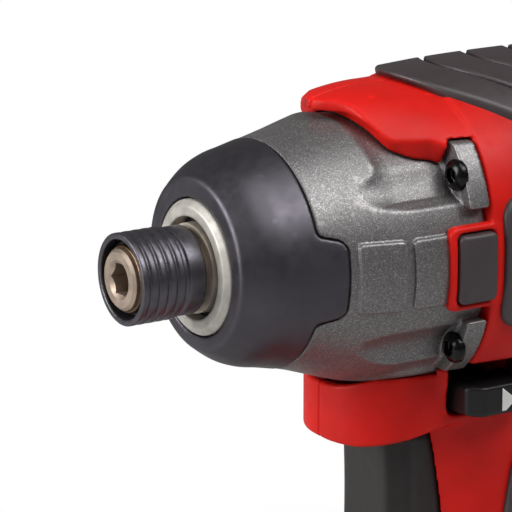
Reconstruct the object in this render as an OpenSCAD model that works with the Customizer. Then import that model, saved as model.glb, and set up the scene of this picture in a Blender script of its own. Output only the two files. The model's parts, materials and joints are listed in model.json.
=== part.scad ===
// Cordless impact driver: chuck, hammer mechanism, planet gears, motor, split housing and battery.
// +X points along the drive axis to the chuck, +Y to the user's left and +Z up.
// The origin is the middle of the battery's flat underside.

/* [Layout] */
// Height of the drive axis above the surface
axis_z = 182; // [176:1:195]
// X of the front face of the nose ring
nose_x = 73.6; // [73:0.1:75]
// X of the visible rear edge of the gear case
case_rear_x = 21; // [20.5:0.5:22]
// X of the rearmost point of the housing
body_rear_x = -70; // [-76:1:-69]

/* [Chuck] */
// Width across the flats of the hexagon socket
hex_af = 6.35; // [6.3:0.05:6.5]
// Depth of the hexagon socket
hex_depth = 26; // [22:1:28]
// Diameter of the anvil's front end
anvil_d = 12.6; // [12:0.1:13]
// Outer diameter of the sliding sleeve
sleeve_d = 19; // [18.6:0.1:19.6]
// Length of the sliding sleeve
sleeve_len = 14.4; // [14:0.1:15]
// Distance from the nose ring's face to the sleeve's front rim
sleeve_lead = 16.4; // [16:0.1:17]
// Distance that the anvil stands out of the sleeve
anvil_lead = 0.9; // [0.5:0.1:1.5]
// Travel of the sleeve when it is pulled forward
sleeve_travel = 3.5; // [3:0.1:3.6]
// Depth of the grip grooves in the sleeve
groove_depth = 0.35; // [0.2:0.05:0.5]
// Pitch of the grip grooves in the sleeve
groove_pitch = 2.1; // [1.8:0.05:2.15]
// Diameter of the bit locking balls
bit_ball_d = 3.5; // [3.2:0.1:3.6]

/* [Nose and gear case] */
// Outer diameter of the steel nose ring
ring_d = 28.7; // [28:0.1:29.5]
// Bore of the steel nose ring
ring_bore = 21.3; // [21:0.1:22]
// Thickness of the steel nose ring
ring_t = 2.2; // [2:0.1:2.4]
// Outer diameter of the boot's flat front face
boot_front_d = 37; // [36:0.1:38]
// Outer diameter where the boot meets the gear case
boot_joint_d = 47.4; // [46.8:0.1:48]
// Length of the boot from the nose ring's face to that joint
boot_len = 15.6; // [15:0.1:16.2]
// Length of the boot's side tongues behind that joint
tongue_len = 6.5; // [5:0.1:7]
// Width of the boot's side tongues
tongue_w = 15.5; // [12:0.5:17]
// Outer diameter of the gear case
case_d = 58; // [57.6:0.1:58.4]
// Wall of the gear case round the hammer
case_wall = 3.5; // [3.3:0.1:3.7]
// Thickness of the rubber boot at its joint
boot_t = 2.4; // [2:0.1:2.6]
// Depth of the gear case's keel below the axis
keel_depth = 26; // [25:0.5:28]

/* [Hammer] */
// Outer diameter of the hammer
hammer_d = 49; // [47:0.1:49.4]
// Length of the hammer's body
hammer_len = 18; // [17:0.5:19]
// Travel of the hammer against its spring
hammer_travel = 8; // [7.5:0.1:8.2]
// Height of the hammer's lugs
lug_h = 7; // [6:0.1:7.2]
// Span of the anvil's two arms
arm_span = 40; // [37:0.5:41]
// Width of the anvil's arms
arm_w = 11; // [9:0.5:12]
// Thickness of the anvil's arms
arm_t = 8; // [7.8:0.1:8.4]
// Diameter of the cam shaft
cam_d = 15; // [14:0.1:15.5]
// Diameter of the cam balls
cam_ball_d = 4.8; // [4.4:0.1:5]

/* [Planet gears] */
// Module of the gears
gear_module = 0.8; // [0.78:0.01:0.81]
// Teeth of the motor pinion
sun_teeth = 9; // [9:3:9]
// Teeth of each planet gear
planet_teeth = 21; // [21:3:21]
// Number of planet gears
planets = 3; // [3:1:3]
// Face width of the gears
gear_w = 8; // [7:0.5:8]
// Thinning of each tooth for backlash
backlash = 0.07; // [0.05:0.01:0.1]
// Pressure angle of the teeth
pressure_angle = 25; // [24:0.5:26]

/* [Motor] */
// Diameter of the motor's can
motor_d = 43; // [41:0.5:44]
// Length of the motor's can
motor_len = 44; // [42:0.5:45]
// Diameter of the motor's shaft
shaft_d = 5; // [4.5:0.1:5]
// Diameter of the armature
armature_d = 29; // [27:0.5:30]
// Length of the armature's core
core_len = 22; // [20:1:24]

/* [Housing] */
// Half width of the housing's barrel
barrel_half = 31; // [30.6:0.1:31.6]
// Squareness of the barrel's section
barrel_square = 2.4; // [2.3:0.05:2.5]
// Wall of the housing
wall = 2.7; // [2.4:0.1:2.8]
// Distance from the case's rear edge to the hood's tip
hood_reach = 25.6; // [22:0.2:27]
// Depth of the chin below the axis
chin_depth = 40; // [39:0.5:42]
// X of the chin's front face
chin_x = 43; // [42:0.2:44]
// Width of the chin
chin_w = 33; // [31:0.5:35]
// Radius of the chin's front corners
chin_r = 15; // [10:0.5:16]
// Thickness of the rubber overmould
rubber_t = 2; // [1.6:0.1:2.4]
// Spacing of the top grip's grooves
rib_pitch = 11; // [9:0.5:13]

/* [Handle] */
// Depth of the grip from front to back
grip_depth = 39.2; // [38.5:0.1:42]
// Width of the grip
grip_w = 32.8; // [32:0.1:36]
// Rake of the grip, with its foot to the rear
grip_rake = 4; // [3:0.5:6]
// Length of the foot
foot_l = 90; // [88:1:96]
// Width of the foot
foot_w = 66; // [62:1:70]
// Height of the foot
foot_h = 22; // [21:0.5:25]

/* [Trigger and selector] */
// Width of the trigger
trigger_w = 21; // [19:0.5:22]
// Height of the trigger
trigger_h = 33; // [30:0.5:35]
// Travel of the trigger
trigger_travel = 6; // [5:0.1:6.2]
// X of the trigger's front at rest
trigger_x = 35; // [34.6:0.2:36]
// Length of the direction selector along X
selector_l = 15; // [13:0.5:16]
// Height of the direction selector's end pads
selector_h = 6.5; // [5.5:0.1:7.5]
// Height of the opening that the selector slides in
selector_slot_h = 11.8; // [11:0.1:12.5]
// Travel of the direction selector to each side
selector_travel = 3; // [2.5:0.1:3.2]
// Width of the trigger switch
switch_w = 18; // [16:0.5:19]

/* [Battery] */
// Length of the battery
battery_l = 112; // [110:1:116]
// Width of the battery
battery_w = 72; // [71:0.5:76]
// Height of the battery's case
battery_h = 32; // [30:0.5:34]
// Radius of the battery's upright corners
battery_r = 9; // [6:0.5:12]
// Diameter of a cell
cell_d = 18.4; // [18:0.1:18.6]
// Length of a cell
cell_len = 65.2; // [64:0.1:65.5]
// Width of the battery's sliding rail
rail_w = 46; // [44:0.5:47]
// Depth of the rail's side grooves
rail_groove = 4; // [3.5:0.1:4.2]
// Travel of the battery's release button
button_travel = 3; // [2.5:0.1:3.2]
// Travel that takes the battery off the foot
battery_travel = 95; // [92:1:110]

/* [Screws] */
// Diameter of the gear case screws
case_screw_d = 3.5; // [3:0.1:3.6]
// Diameter of the gear case screws' heads
case_head_d = 6.6; // [6:0.1:6.8]
// Diameter of the housing screws
housing_screw_d = 2.9; // [2.6:0.1:3]
// Diameter of the housing screws' heads
housing_head_d = 5.6; // [5:0.1:5.8]

/* [Fits] */
// Gap round pieces that turn or slide in a bore
run_gap = 0.06; // [0.05:0.01:0.1]
// Gap between neighbouring pieces
part_gap = 0.3; // [0.2:0.05:0.3]

/* [Hidden] */
$fn = 64;

// Small shared sizes
cut = 1;
far = 200;
edge = 0.6;

// Chuck, from the rim backwards
rim_x = nose_x + sleeve_lead;
anvil_x = rim_x + anvil_lead;
sleeve_rear_x = rim_x - sleeve_len;
groove_w = 0.8;
first_groove = 1.3;
groove_count = 4;
sleeve_step_x = rim_x - first_groove - groove_count * groove_pitch - groove_w;
sleeve_rear_d = sleeve_d - 1.2;
sleeve_bore = sleeve_d - 2.6;
lock_len = 2.6;
lock_x = sleeve_rear_x + 2.6;
ball_x = lock_x + lock_len / 2;
lock_bore = anvil_d + 2 * run_gap;
ball_ring_r = anvil_d / 2 - bit_ball_d / 2 - run_gap;
retainer_t = 0.9;
retainer_x = rim_x - 1.3;
retainer_d = sleeve_bore - 0.8;
chuck_wire = 0.9;
chuck_turns = 2.5;
collar_d = sleeve_d - 0.4;
collar_t = 2.2;
collar_x = nose_x + edge;

// Nose and hammer chamber
joint_x = nose_x - boot_len;
ring_back_x = nose_x - ring_t;
boot_face_x = nose_x - 0.8;
bush_d = ring_bore - edge;
chamber_front_x = joint_x - 6;
washer_t = 0.8;
arm_front_x = chamber_front_x - washer_t - part_gap;
arm_rear_x = arm_front_x - arm_t;
hammer_face_x = arm_rear_x - 0.5;
hammer_rear_x = hammer_face_x - hammer_len;
case_r = case_d / 2;
chamber_r = case_r - case_wall;
cone_x = joint_x - 18;
case_back_x = 2;
chamber_nose_r = boot_joint_d / 2 - boot_t - 0.2;
spigot_r = case_r - 1.5;
hub_r = 10.5;
pilot_d = 8;
pilot_len = 6;
pilot_root_x = arm_rear_x - 0.6;
lug_w = 12;
panel_l = 9.4;
panel_gap = 2.4;
panel_h = 14.4;
panel_rise = 0.5;
panel_x = joint_x - tongue_len + 0.4 - panel_l;
flute_r = 5.4;
ball_rest_x = hammer_face_x - 4;

// Planet stage
ring_teeth = sun_teeth + 2 * planet_teeth;
centre_r = gear_module * (sun_teeth + planet_teeth) / 2;
gear_rear_x = 4;
gear_front_x = gear_rear_x + gear_w;
plate_front_x = gear_front_x + 0.4;
disc_t = 3;
disc_front_x = plate_front_x + disc_t;
pin_d = 4;
disc_r = 19;
rear_disc_r = 16.5;
stub_d = 3.2;
spring_wire = 3;
spring_turns = 3.5;
spring_r = 12.2;
spring_seat_x = hammer_face_x - 6;
bearing_d = 26;
bearing_bore = 17;
bearing_w = 5;
bearing_x = -5.6;

// Motor
plate_back_x = -7;
can_front_x = plate_back_x - part_gap;
can_rear_x = can_front_x - motor_len;
cap_len = 6;
cap_rear_x = can_rear_x - cap_len;
can_wall = 1.4;
core_front_x = can_front_x - 9;
fan_x = core_front_x + 3.6;
fan_r = motor_d / 2 - can_wall - 1.2;
core_rear_x = core_front_x - core_len;
comm_d = 14;
comm_len = 7;
comm_front_x = core_rear_x - 3;
brush_w = 4.4;
brush_len = 5;

// Housing
case_bore_r = case_r + part_gap;
chin_z = axis_z - chin_depth;
keel_z = axis_z - keel_depth;
hood_x = case_rear_x + hood_reach;
foot_z = battery_h + 3;
foot_top_z = foot_z + foot_h;
grip_mid_z = (foot_top_z + chin_z) / 2;
hood_z = case_r + 0.4;
screw_ring_y = 24.5;
screw_ring_z = 18.2;
ear_t = 4.4;
ear_h = 12.6;
ear_top = screw_ring_z + ear_h / 2;
barrel_top = barrel_half + 3.6;
window_h = 14.6;
window_l = 7.6;
grip_tip_x = case_rear_x + 7;
seam = 0.05;

// Trigger, switch and selector
trigger_top_z = chin_z - 0.5;
trigger_bottom_z = trigger_top_z - trigger_h;
trigger_back_x = trigger_x - 17;
trigger_mid_z = (trigger_top_z + trigger_bottom_z) / 2;
switch_front_x = trigger_back_x - trigger_travel - 1;
switch_l = 21.4;
switch_h = 30;
switch_z = trigger_top_z - 1 - switch_h;
plunger_d = 6;
plunger_len = 12;
selector_x = 13.2;
selector_bar_h = 5;
selector_bar_z = chin_z + 5;
selector_reach = 24.5;
lead_x = can_front_x - 2.4;
lead_z = axis_z - motor_d / 2 - 3;
wire_r = 1.2;
led_d = 6;
led_x = 30;
led_z = foot_top_z + 3;

// Battery and its rail
lid_t = 2.2;
battery_wall = 2.2;
lid_z = battery_h;
rail_z = lid_z + lid_t;
flange_t = 3;
rail_neck_top = foot_z + flange_t + 0.6;
rail_top = rail_neck_top + 7;
rail_l = foot_l - 6;
rail_front_x = foot_l / 2 - 0.4;
rail_rear_x = rail_front_x - rail_l;
pocket_top = rail_top + 0.5;
blade_y = 11;
blade_t = 1.2;
blade_l = 18;
blade_mid = 12;
block_l = 26;
block_h = 5;
latch_x = 34;
latch_l = 20;
latch_w = 12;
latch_hook = 3;
cell_pitch = cell_d + part_gap;
cell_z = battery_wall + 0.6 + cell_d / 2;
board_z = cell_z + cell_d / 2 + 0.4;
board_t = 1.6;
button_in_x = battery_l / 2 - 9;
cells_rear_x = -battery_l / 2 + battery_wall + 0.6;
cells_front_x = button_in_x - 1;
cells = floor((cells_front_x - cells_rear_x) / cell_pitch);
cells_x = (cells_rear_x + cells_front_x) / 2;
button_w = 26;
button_h = 11;
button_z = battery_h - 15;

// Each housing screw's place along X, its height, and the depth of its seat from the middle plane
screw_seat = 9;
screw_len = 17;
boss_r = 3.4;
housing_screw_places = [
    [body_rear_x + 7.4, axis_z + 13],
    [body_rear_x + 7.4, axis_z - 13],
    [chin_x - 6.4, chin_z + 5.6],
    [grip_x(grip_mid_z) + 7.5, switch_z - 6.5],
    [grip_x(grip_mid_z) + 7.5, foot_top_z + 17],
    [foot_l / 2 - 10, pocket_top + 5],
    [-foot_l / 2 + 10, pocket_top + 5]
];

function sgn_pow(v, p) = sign(v) * pow(abs(v), p);

// A rounded rectangle as a superellipse of half sizes a and b.
function super(a, b, n, count = 48) = [
    for (i = [0 : count - 1])
        let (t = 360 * i / count)
        [a * sgn_pow(cos(t), 2 / n), b * sgn_pow(sin(t), 2 / n)]
];

// Centre line of the grip, which leans to the rear at its foot.
function grip_x(z) = 1.5 + (z - grip_mid_z) * tan(grip_rake);

// Sections of the handle and foot: height, centre along X, half depth, half width, squareness.
function grip_sections(inset = 0) = [
    [foot_z + inset * 0.8, 0, foot_l / 2 - inset, foot_w / 2 - inset, 4.5],
    [foot_top_z - 7 - inset * 0.5, 0, foot_l / 2 - 1 - inset, foot_w / 2 - 0.5 - inset, 4.5],
    [foot_top_z - 1 - inset, -1, foot_l / 2 - 7 - inset, foot_w / 2 - 5.5 - inset, 3.5],
    [foot_top_z + 7 - inset, grip_x(foot_top_z), grip_depth / 2 + 6 - inset, grip_w / 2 + 3.5 - inset, 2.8],
    [foot_top_z + 18, grip_x(foot_top_z + 18), grip_depth / 2 + 1 - inset, grip_w / 2 + 0.5 - inset, 2.5],
    [grip_mid_z, grip_x(grip_mid_z), grip_depth / 2 - inset, grip_w / 2 - inset, 2.4],
    [chin_z - 12, grip_x(chin_z - 12), grip_depth / 2 + 1.2 - inset, grip_w / 2 + 0.4 - inset, 2.4],
    [chin_z, grip_x(chin_z), grip_depth / 2 + 3.4 - inset, grip_w / 2 + 2 - inset, 2.5],
    [chin_z + 10, grip_x(chin_z), grip_depth / 2 + 6.5 - inset, grip_w / 2 + 4 - inset, 2.6],
    [chin_z + 22, grip_x(chin_z), grip_depth / 2 + 9.5 - inset, grip_w / 2 + 6 - inset, 2.8]
];

// Sections of the barrel from the rear: place along X, half width, height above and below the axis.
function barrel_sections(inset = 0) = [
    for (s = [
        [body_rear_x, 19, inset],
        [body_rear_x + 1.2, 12.5, inset * 0.8],
        [body_rear_x + 4, 7, inset * 0.4],
        [body_rear_x + 10, 3.6, 0],
        [-45, 1.4, 0],
        [-20, 0.2, 0],
        [case_rear_x + 5, 0, 0],
        [hood_x - 11, 0.4, 0],
        [hood_x - inset, 1.6, 0]
    ])
        [s[0] + s[2], barrel_half - s[1] - inset, barrel_top - s[1] * 1.1 - inset, barrel_half - s[1] - inset]
];

// A closed solid through rings of points, each ring turning the same way.
module loft(rings) {
    n = len(rings[0]);
    m = len(rings);
    sides = [
        for (k = [0 : m - 2], i = [0 : n - 1])
            let (a = k * n + i, b = k * n + (i + 1) % n)
            each [[a, a + n, b], [b, a + n, b + n]]
    ];
    first = [for (i = [0 : n - 1]) i];
    last = [for (i = [n - 1 : -1 : 0]) (m - 1) * n + i];
    polyhedron([for (r = rings) each r], concat([first], sides, [last]), convexity = 8);
}

// Turns children that are drawn along Z onto the drive axis, with Z to X.
module on_axis(x = 0) {
    translate([x, 0, axis_z]) rotate([0, 90, 0]) children();
}

// A ring or disc on the drive axis between two places along X.
module tube(x0, x1, r, bore = 0) {
    on_axis(x0) difference() {
        cylinder(h = x1 - x0, r = r);
        if (bore > 0) translate([0, 0, -cut]) cylinder(h = x1 - x0 + 2 * cut, r = bore);
    }
}

// A revolved solid on the drive axis from points of radius and X.
module revolved(points) {
    on_axis() rotate_extrude() polygon(points);
}

// Left or right half of space, set back from the middle plane by half the seam.
module half(side) {
    translate([-far, side > 0 ? seam / 2 : -far - seam / 2, -far]) cube([2 * far, far, 3 * far]);
}

// Copies a child to both sides of the middle plane.
module both_sides() {
    children();
    mirror([0, 1, 0]) children();
}

// A coil spring along X from its start, as one unbroken wire.
module coil(x0, len, r, wire, turns) {
    steps = ceil(12 * turns);
    sides = 6;
    loft([
        for (k = [0 : steps])
            let (t = 360 * turns * k / steps, x = wire / 2 + (len - wire) * k / steps)
            [
                for (i = [0 : sides - 1])
                    let (u = -360 * i / sides, q = r + wire / 2 * cos(u))
                    [x0 + x + wire / 2 * sin(u), q * cos(t), axis_z + q * sin(t)]
            ]
    ]);
}

// Involute gear outline. Angles are in degrees, and a tooth is centred on angle 0.
function inv(a) = tan(a) * 180 / PI - a;

// Half of a tooth's angle at radius r, for a pitch radius, tooth count and thinning.
function half_tooth(r, pitch, teeth, thin) =
    let (base = pitch * cos(pressure_angle), at = acos(min(1, base / r)))
    90 / teeth - thin / 2 / pitch * 180 / PI + inv(pressure_angle) - inv(at);

function gear_outline(teeth, outer, root, thin) =
    let (
        pitch = gear_module * teeth / 2,
        base = pitch * cos(pressure_angle),
        start = max(root, base + 0.001),
        steps = 4,
        foot_angle = half_tooth(start, pitch, teeth, thin),
        flank = concat(
            [[root, foot_angle]],
            [for (k = [0 : steps]) let (r = start + (outer - start) * k / steps)
                [r, half_tooth(r, pitch, teeth, thin)]]
        ),
        last = len(flank) - 1
    )
    [
        for (i = [0 : teeth - 1], k = [0 : 2 * last + 1])
            let (
                q = k <= last ? flank[k] : flank[2 * last + 1 - k],
                t = 360 * i / teeth + (k <= last ? -q[1] : q[1])
            )
            q[0] * [cos(t), sin(t)]
    ];

// Drive end

module sleeve_groove(x, w, depth) {
    tube(x, x + w, sleeve_d / 2 + cut, sleeve_d / 2 - depth);
}

module chuck_sleeve() {
    color("dimgray") difference() {
        revolved([
            [0, sleeve_rear_x],
            [sleeve_rear_d / 2 - edge / 2, sleeve_rear_x],
            [sleeve_rear_d / 2, sleeve_rear_x + edge / 2],
            [sleeve_rear_d / 2, sleeve_step_x],
            [sleeve_d / 2, sleeve_step_x + edge],
            [sleeve_d / 2, rim_x - edge / 2],
            [sleeve_d / 2 - edge / 2, rim_x],
            [0, rim_x]
        ]);
        for (i = [0 : groove_count - 1])
            sleeve_groove(rim_x - first_groove - i * groove_pitch - groove_w / 2, groove_w, groove_depth);
        sleeve_groove(sleeve_step_x, 1.1, 0.9);
        tube(sleeve_rear_x - cut, lock_x, sleeve_bore / 2 - 0.6);
        tube(sleeve_rear_x - cut, rim_x + cut, lock_bore / 2);
        tube(lock_x + lock_len, rim_x + cut, sleeve_bore / 2);
    }
}

module anvil() {
    color("slategray") difference() {
        union() {
            revolved([
                [0, arm_rear_x],
                [hub_r, arm_rear_x],
                [hub_r, arm_front_x],
                [anvil_d / 2, arm_front_x],
                [anvil_d / 2, anvil_x - edge],
                [anvil_d / 2 - edge, anvil_x],
                [0, anvil_x]
            ]);
            intersection() {
                tube(arm_rear_x, arm_front_x, arm_span / 2);
                translate([arm_rear_x, -arm_w / 2, axis_z - far / 2]) cube([arm_t, arm_w, far]);
            }
        }
        on_axis(anvil_x - hex_depth) rotate(30) cylinder(h = hex_depth + cut, d = hex_af / cos(30), $fn = 6);
        on_axis(anvil_x - 0.8) cylinder(h = 1.6, d1 = hex_af, d2 = hex_af + 3.6);
        tube(retainer_x - retainer_t - run_gap, retainer_x + run_gap, anvil_d, anvil_d / 2 - 0.6);
        for (a = [0, 180]) on_axis(ball_x) rotate(a) rotate([0, 90, 0])
            cylinder(h = anvil_d, d = bit_ball_d + 2 * run_gap);
        tube(arm_rear_x - cut, arm_rear_x + pilot_len + 0.6, pilot_d / 2 + run_gap);
    }
}

module bit_balls() {
    color("silver") for (a = [0, 180])
        on_axis(ball_x) rotate(a) translate([ball_ring_r, 0, 0]) sphere(d = bit_ball_d);
}

module chuck_retainer() {
    color("goldenrod") {
        tube(retainer_x - retainer_t, retainer_x - retainer_t / 3, retainer_d / 2, anvil_d / 2 - 0.5);
        tube(retainer_x - retainer_t / 2, retainer_x, anvil_d / 2 + edge, anvil_d / 2 - 0.5);
    }
}

module chuck_spring() {
    start = lock_x + lock_len + 0.1;
    len = retainer_x - retainer_t - 0.1 - start;
    color("silver") coil(start, len, (anvil_d + sleeve_bore) / 4, chuck_wire, chuck_turns);
}

module collar_washer() {
    color("lightgray") tube(collar_x - collar_t, collar_x, collar_d / 2, anvil_d / 2 + run_gap);
}

module nose_ring() {
    color("silver") difference() {
        revolved([
            [0, ring_back_x],
            [ring_d / 2, ring_back_x],
            [ring_d / 2, nose_x - 1],
            [ring_d / 2 - 1, nose_x],
            [0, nose_x]
        ]);
        tube(ring_back_x - cut, nose_x + cut, ring_bore / 2);
    }
}

module front_bushing() {
    color("peru") tube(chamber_front_x, ring_back_x, bush_d / 2, anvil_d / 2 + run_gap);
}

module thrust_washer() {
    color("ivory") tube(chamber_front_x - washer_t, chamber_front_x, bush_d / 2 + 1, anvil_d / 2 + 0.3);
}

// Outer line of the nose from the case's cylinder to the boot's face, drawn in by a depth.
function nose_line(depth) = [
    [case_r - depth, cone_x],
    [boot_joint_d / 2 - depth, joint_x],
    [boot_front_d / 2 + 3 - depth, boot_face_x - 3.2],
    [boot_front_d / 2 + 1.6 - depth, boot_face_x - 1 - depth / 2],
    [boot_front_d / 2 - depth / 2, boot_face_x - depth / 2]
];

// Boot with its two side tongues. Extra room all round makes the recess in the gear case.
module boot_form(room = 0) {
    difference() {
        intersection() {
            revolved(concat(
                [[0, cone_x]],
                nose_line(-room),
                [[0, boot_face_x + room / 2]]
            ));
            union() {
                translate([joint_x - room, -far / 2, 0]) cube([far, far, 2 * far]);
                translate([joint_x - tongue_len - room, -far / 2, axis_z - tongue_w / 2 - room])
                    cube([far, far, tongue_w + 2 * room]);
            }
        }
        revolved(concat(
            [[0, cone_x - cut], [case_r - boot_t - room, cone_x - cut]],
            nose_line(boot_t + room),
            [[0, boot_face_x - (boot_t + room) / 2]]
        ));
        tube(ring_back_x - 10, nose_x + 10, ring_d / 2 + run_gap);
    }
}

module nose_boot() {
    color([0.18, 0.17, 0.18]) boot_form();
}

// Panels on the case's flanks, between the tongue and the housing's window frame.
module flank_panels() {
    intersection() {
        revolved(concat(
            [[0, case_rear_x], [case_r + panel_rise, case_rear_x]],
            nose_line(-panel_rise),
            [[0, nose_x]]
        ));
        for (i = [0, 1])
            translate([panel_x - i * (panel_l + panel_gap), 0, axis_z - panel_h / 2])
                cube([panel_l, far, panel_h]);
    }
}

// Space in front of each gear case screw for the driver.
module screw_flutes() {
    for (z = [-1, 1]) translate([case_rear_x + ear_t + part_gap, screw_ring_y, axis_z + z * screw_ring_z])
        rotate([0, 90, 0]) cylinder(h = far, r = flute_r);
}

// Blocks that bound the screw ears, with room all round for the housing's notches.
module ear_blocks(room = 0) {
    for (z = [-1, 1])
        translate([case_rear_x + part_gap, screw_ring_y - 7, axis_z + z * screw_ring_z - ear_h / 2])
            translate([-room, -room, -room]) cube([ear_t + 2 * room, far, ear_h + 2 * room]);
}

module case_ears() {
    intersection() {
        barrel_form();
        ear_blocks();
    }
}

module gear_case() {
    color("darkgray") difference() {
        union() {
            revolved(concat(
                [[0, case_back_x], [spigot_r, case_back_x], [spigot_r, case_rear_x + part_gap],
                    [case_r, case_rear_x + part_gap]],
                nose_line(0),
                [[0, boot_face_x]]
            ));
            translate([0, 0, keel_z]) linear_extrude(keel_depth - 12) chin_plan(case_rear_x + part_gap);
            both_sides() {
                case_ears();
                flank_panels();
            }
        }
        boot_form(0.1);
        tube(ring_back_x, far, ring_d / 2 + 3 * run_gap);
        tube(chamber_front_x - cut, far, bush_d / 2);
        revolved([
            [0, case_back_x - cut],
            [chamber_r, case_back_x - cut],
            [chamber_r, hammer_face_x + 1],
            [chamber_nose_r, chamber_front_x],
            [0, chamber_front_x]
        ]);
        both_sides() {
            screw_flutes();
            for (z = [-1, 1]) translate([0, screw_ring_y, axis_z + z * screw_ring_z])
                rotate([0, 90, 0]) cylinder(h = far, d = case_screw_d + 2 * run_gap);
        }
    }
}

module case_screws() {
    color([0.12, 0.12, 0.13]) both_sides() for (z = [-1, 1])
        translate([case_rear_x + ear_t + part_gap, screw_ring_y, axis_z + z * screw_ring_z])
            rotate([0, 90, 0]) difference() {
                union() {
                    cylinder(h = 2.6, d = case_head_d);
                    translate([0, 0, -16]) cylinder(h = 17, d = case_screw_d);
                }
                translate([0, 0, 1]) cylinder(h = 3, d = 3, $fn = 6);
            }
}

// Hammer mechanism

module hammer() {
    color("gray") difference() {
        union() {
            tube(hammer_rear_x, hammer_face_x, hammer_d / 2);
            intersection() {
                tube(hammer_face_x - cut, hammer_face_x + lug_h, arm_span / 2, hub_r + 0.4);
                translate([0, -far, axis_z - lug_w / 2]) cube([far, 2 * far, lug_w]);
            }
        }
        tube(hammer_rear_x - cut, hammer_face_x + far, cam_d / 2 + run_gap);
        for (a = [90, 270]) on_axis(ball_rest_x - cam_ball_d / 2 - part_gap) rotate(a)
            translate([cam_d / 2, 0, 0]) cylinder(h = hammer_len, d = cam_ball_d + 2 * part_gap);
        half_seat = spring_wire / 2 + 0.5;
        tube(hammer_rear_x - cut, spring_seat_x, spring_r + half_seat, spring_r - half_seat);
    }
}

module cam_balls() {
    color("silver") for (a = [90, 270])
        on_axis(ball_rest_x) rotate(a) translate([cam_d / 2, 0, 0]) sphere(d = cam_ball_d);
}

module hammer_spring() {
    start = disc_front_x + 0.2;
    color("steelblue") coil(start, spring_seat_x - 0.2 - start, spring_r, spring_wire, spring_turns);
}

module planet_carrier() {
    color("lightslategray") difference() {
        union() {
            tube(plate_front_x, disc_front_x, disc_r);
            tube(disc_front_x - cut, pilot_root_x, cam_d / 2);
            tube(pilot_root_x - cut, arm_rear_x + pilot_len, pilot_d / 2);
            tube(gear_rear_x - 0.4 - disc_t, gear_rear_x - 0.4, rear_disc_r);
            tube(bearing_x, gear_rear_x - 0.8, bearing_bore / 2);
            for (i = [0 : planets - 1]) on_axis(gear_rear_x - cut) rotate(360 * (i + 0.5) / planets)
                translate([centre_r + 1.5, 0, 0]) cylinder(h = gear_w + 2 * cut + 0.4, d = 6.5);
        }
        tube(bearing_x - cut, gear_front_x + 1.4, gear_module * (sun_teeth / 2 + 0.8) + 0.7);
        for (i = [0 : planets - 1]) on_axis(0) rotate(360 * i / planets) translate([centre_r, 0, 0])
            cylinder(h = disc_front_x - 0.6, d = pin_d + 2 * run_gap);
        for (a = [90, 270]) on_axis(ball_rest_x) rotate(a) translate([cam_d / 2, 0, 0])
            sphere(d = cam_ball_d + 2 * run_gap);
    }
}

module planet_pins() {
    color("silver") for (i = [0 : planets - 1]) on_axis(gear_rear_x - disc_t) rotate(360 * i / planets)
        translate([centre_r, 0, 0]) cylinder(h = gear_w + disc_t + 2.4, d = pin_d);
}

// One planet gear, turned so that its teeth stand in the gaps of the pinion.
module planet_gear(i) {
    place = 360 * i / planets;
    turn = place + 180 + place * sun_teeth / planet_teeth + 180 / planet_teeth;
    pitch = gear_module * planet_teeth / 2;
    color("burlywood") on_axis(gear_rear_x) rotate(place) translate([centre_r, 0, 0]) rotate(turn - place)
        difference() {
            linear_extrude(gear_w)
                polygon(gear_outline(planet_teeth, pitch + 0.8 * gear_module, pitch - gear_module, backlash));
            translate([0, 0, -cut]) cylinder(h = gear_w + 2 * cut, d = pin_d + 2 * run_gap);
        }
}

module planet_gear_1() {
    planet_gear(0);
}

module planet_gear_2() {
    planet_gear(1);
}

module planet_gear_3() {
    planet_gear(2);
}

module ring_gear() {
    pitch = gear_module * ring_teeth / 2;
    color("darkgoldenrod") on_axis(gear_rear_x - 0.2) difference() {
        cylinder(h = gear_w + 0.4, r = chamber_r - run_gap);
        translate([0, 0, -cut]) linear_extrude(gear_w + 3 * cut)
            polygon(gear_outline(ring_teeth, pitch + gear_module, pitch - 0.8 * gear_module, -backlash));
    }
}

module motor_pinion() {
    pitch = gear_module * sun_teeth / 2;
    color("silver") on_axis(gear_rear_x - 0.6) difference() {
        linear_extrude(gear_w + 1)
            polygon(gear_outline(sun_teeth, pitch + 0.8 * gear_module, pitch - gear_module, backlash));
        translate([0, 0, -cut]) cylinder(h = gear_w + 4 * cut, d = stub_d + 2 * run_gap);
    }
}

module gearbox_plate() {
    color([0.25, 0.25, 0.27]) difference() {
        union() {
            tube(plate_back_x, case_back_x, spigot_r);
            tube(case_back_x - cut, gear_rear_x - 0.2, chamber_r - run_gap);
        }
        tube(bearing_x, far, bearing_d / 2 + run_gap);
        tube(gear_rear_x - disc_t - 0.8, far, rear_disc_r + 0.5);
        tube(-far, far, 7);
        tube(plate_back_x - cut, plate_back_x + 0.8, 8.5);
    }
}

module carrier_bearing() {
    color("silver") tube(bearing_x, bearing_x + bearing_w, bearing_d / 2, bearing_bore / 2 + run_gap);
}

// Motor

module motor_can() {
    color("darkgray") difference() {
        union() {
            tube(can_rear_x, can_front_x, motor_d / 2);
            tube(can_front_x - cut, can_front_x + 1, 6);
        }
        tube(can_rear_x - cut, can_front_x - 2, motor_d / 2 - can_wall);
        tube(can_rear_x - cut, far, shaft_d / 2 + run_gap);
        for (a = [0 : 60 : 300]) on_axis(can_front_x - 3) rotate(a) translate([motor_d / 2 - 8, 0, 0])
            cylinder(h = 6, d = 6);
    }
}

module motor_magnets() {
    color([0.3, 0.3, 0.32]) intersection() {
        tube(can_rear_x + 5, fan_x - 0.5, motor_d / 2 - can_wall - 0.05, armature_d / 2 + 0.6);
        union() for (s = [-1, 1]) translate([-far, s > 0 ? 3 : -far - 3, 0]) cube([2 * far, far, 2 * far]);
    }
}

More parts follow.
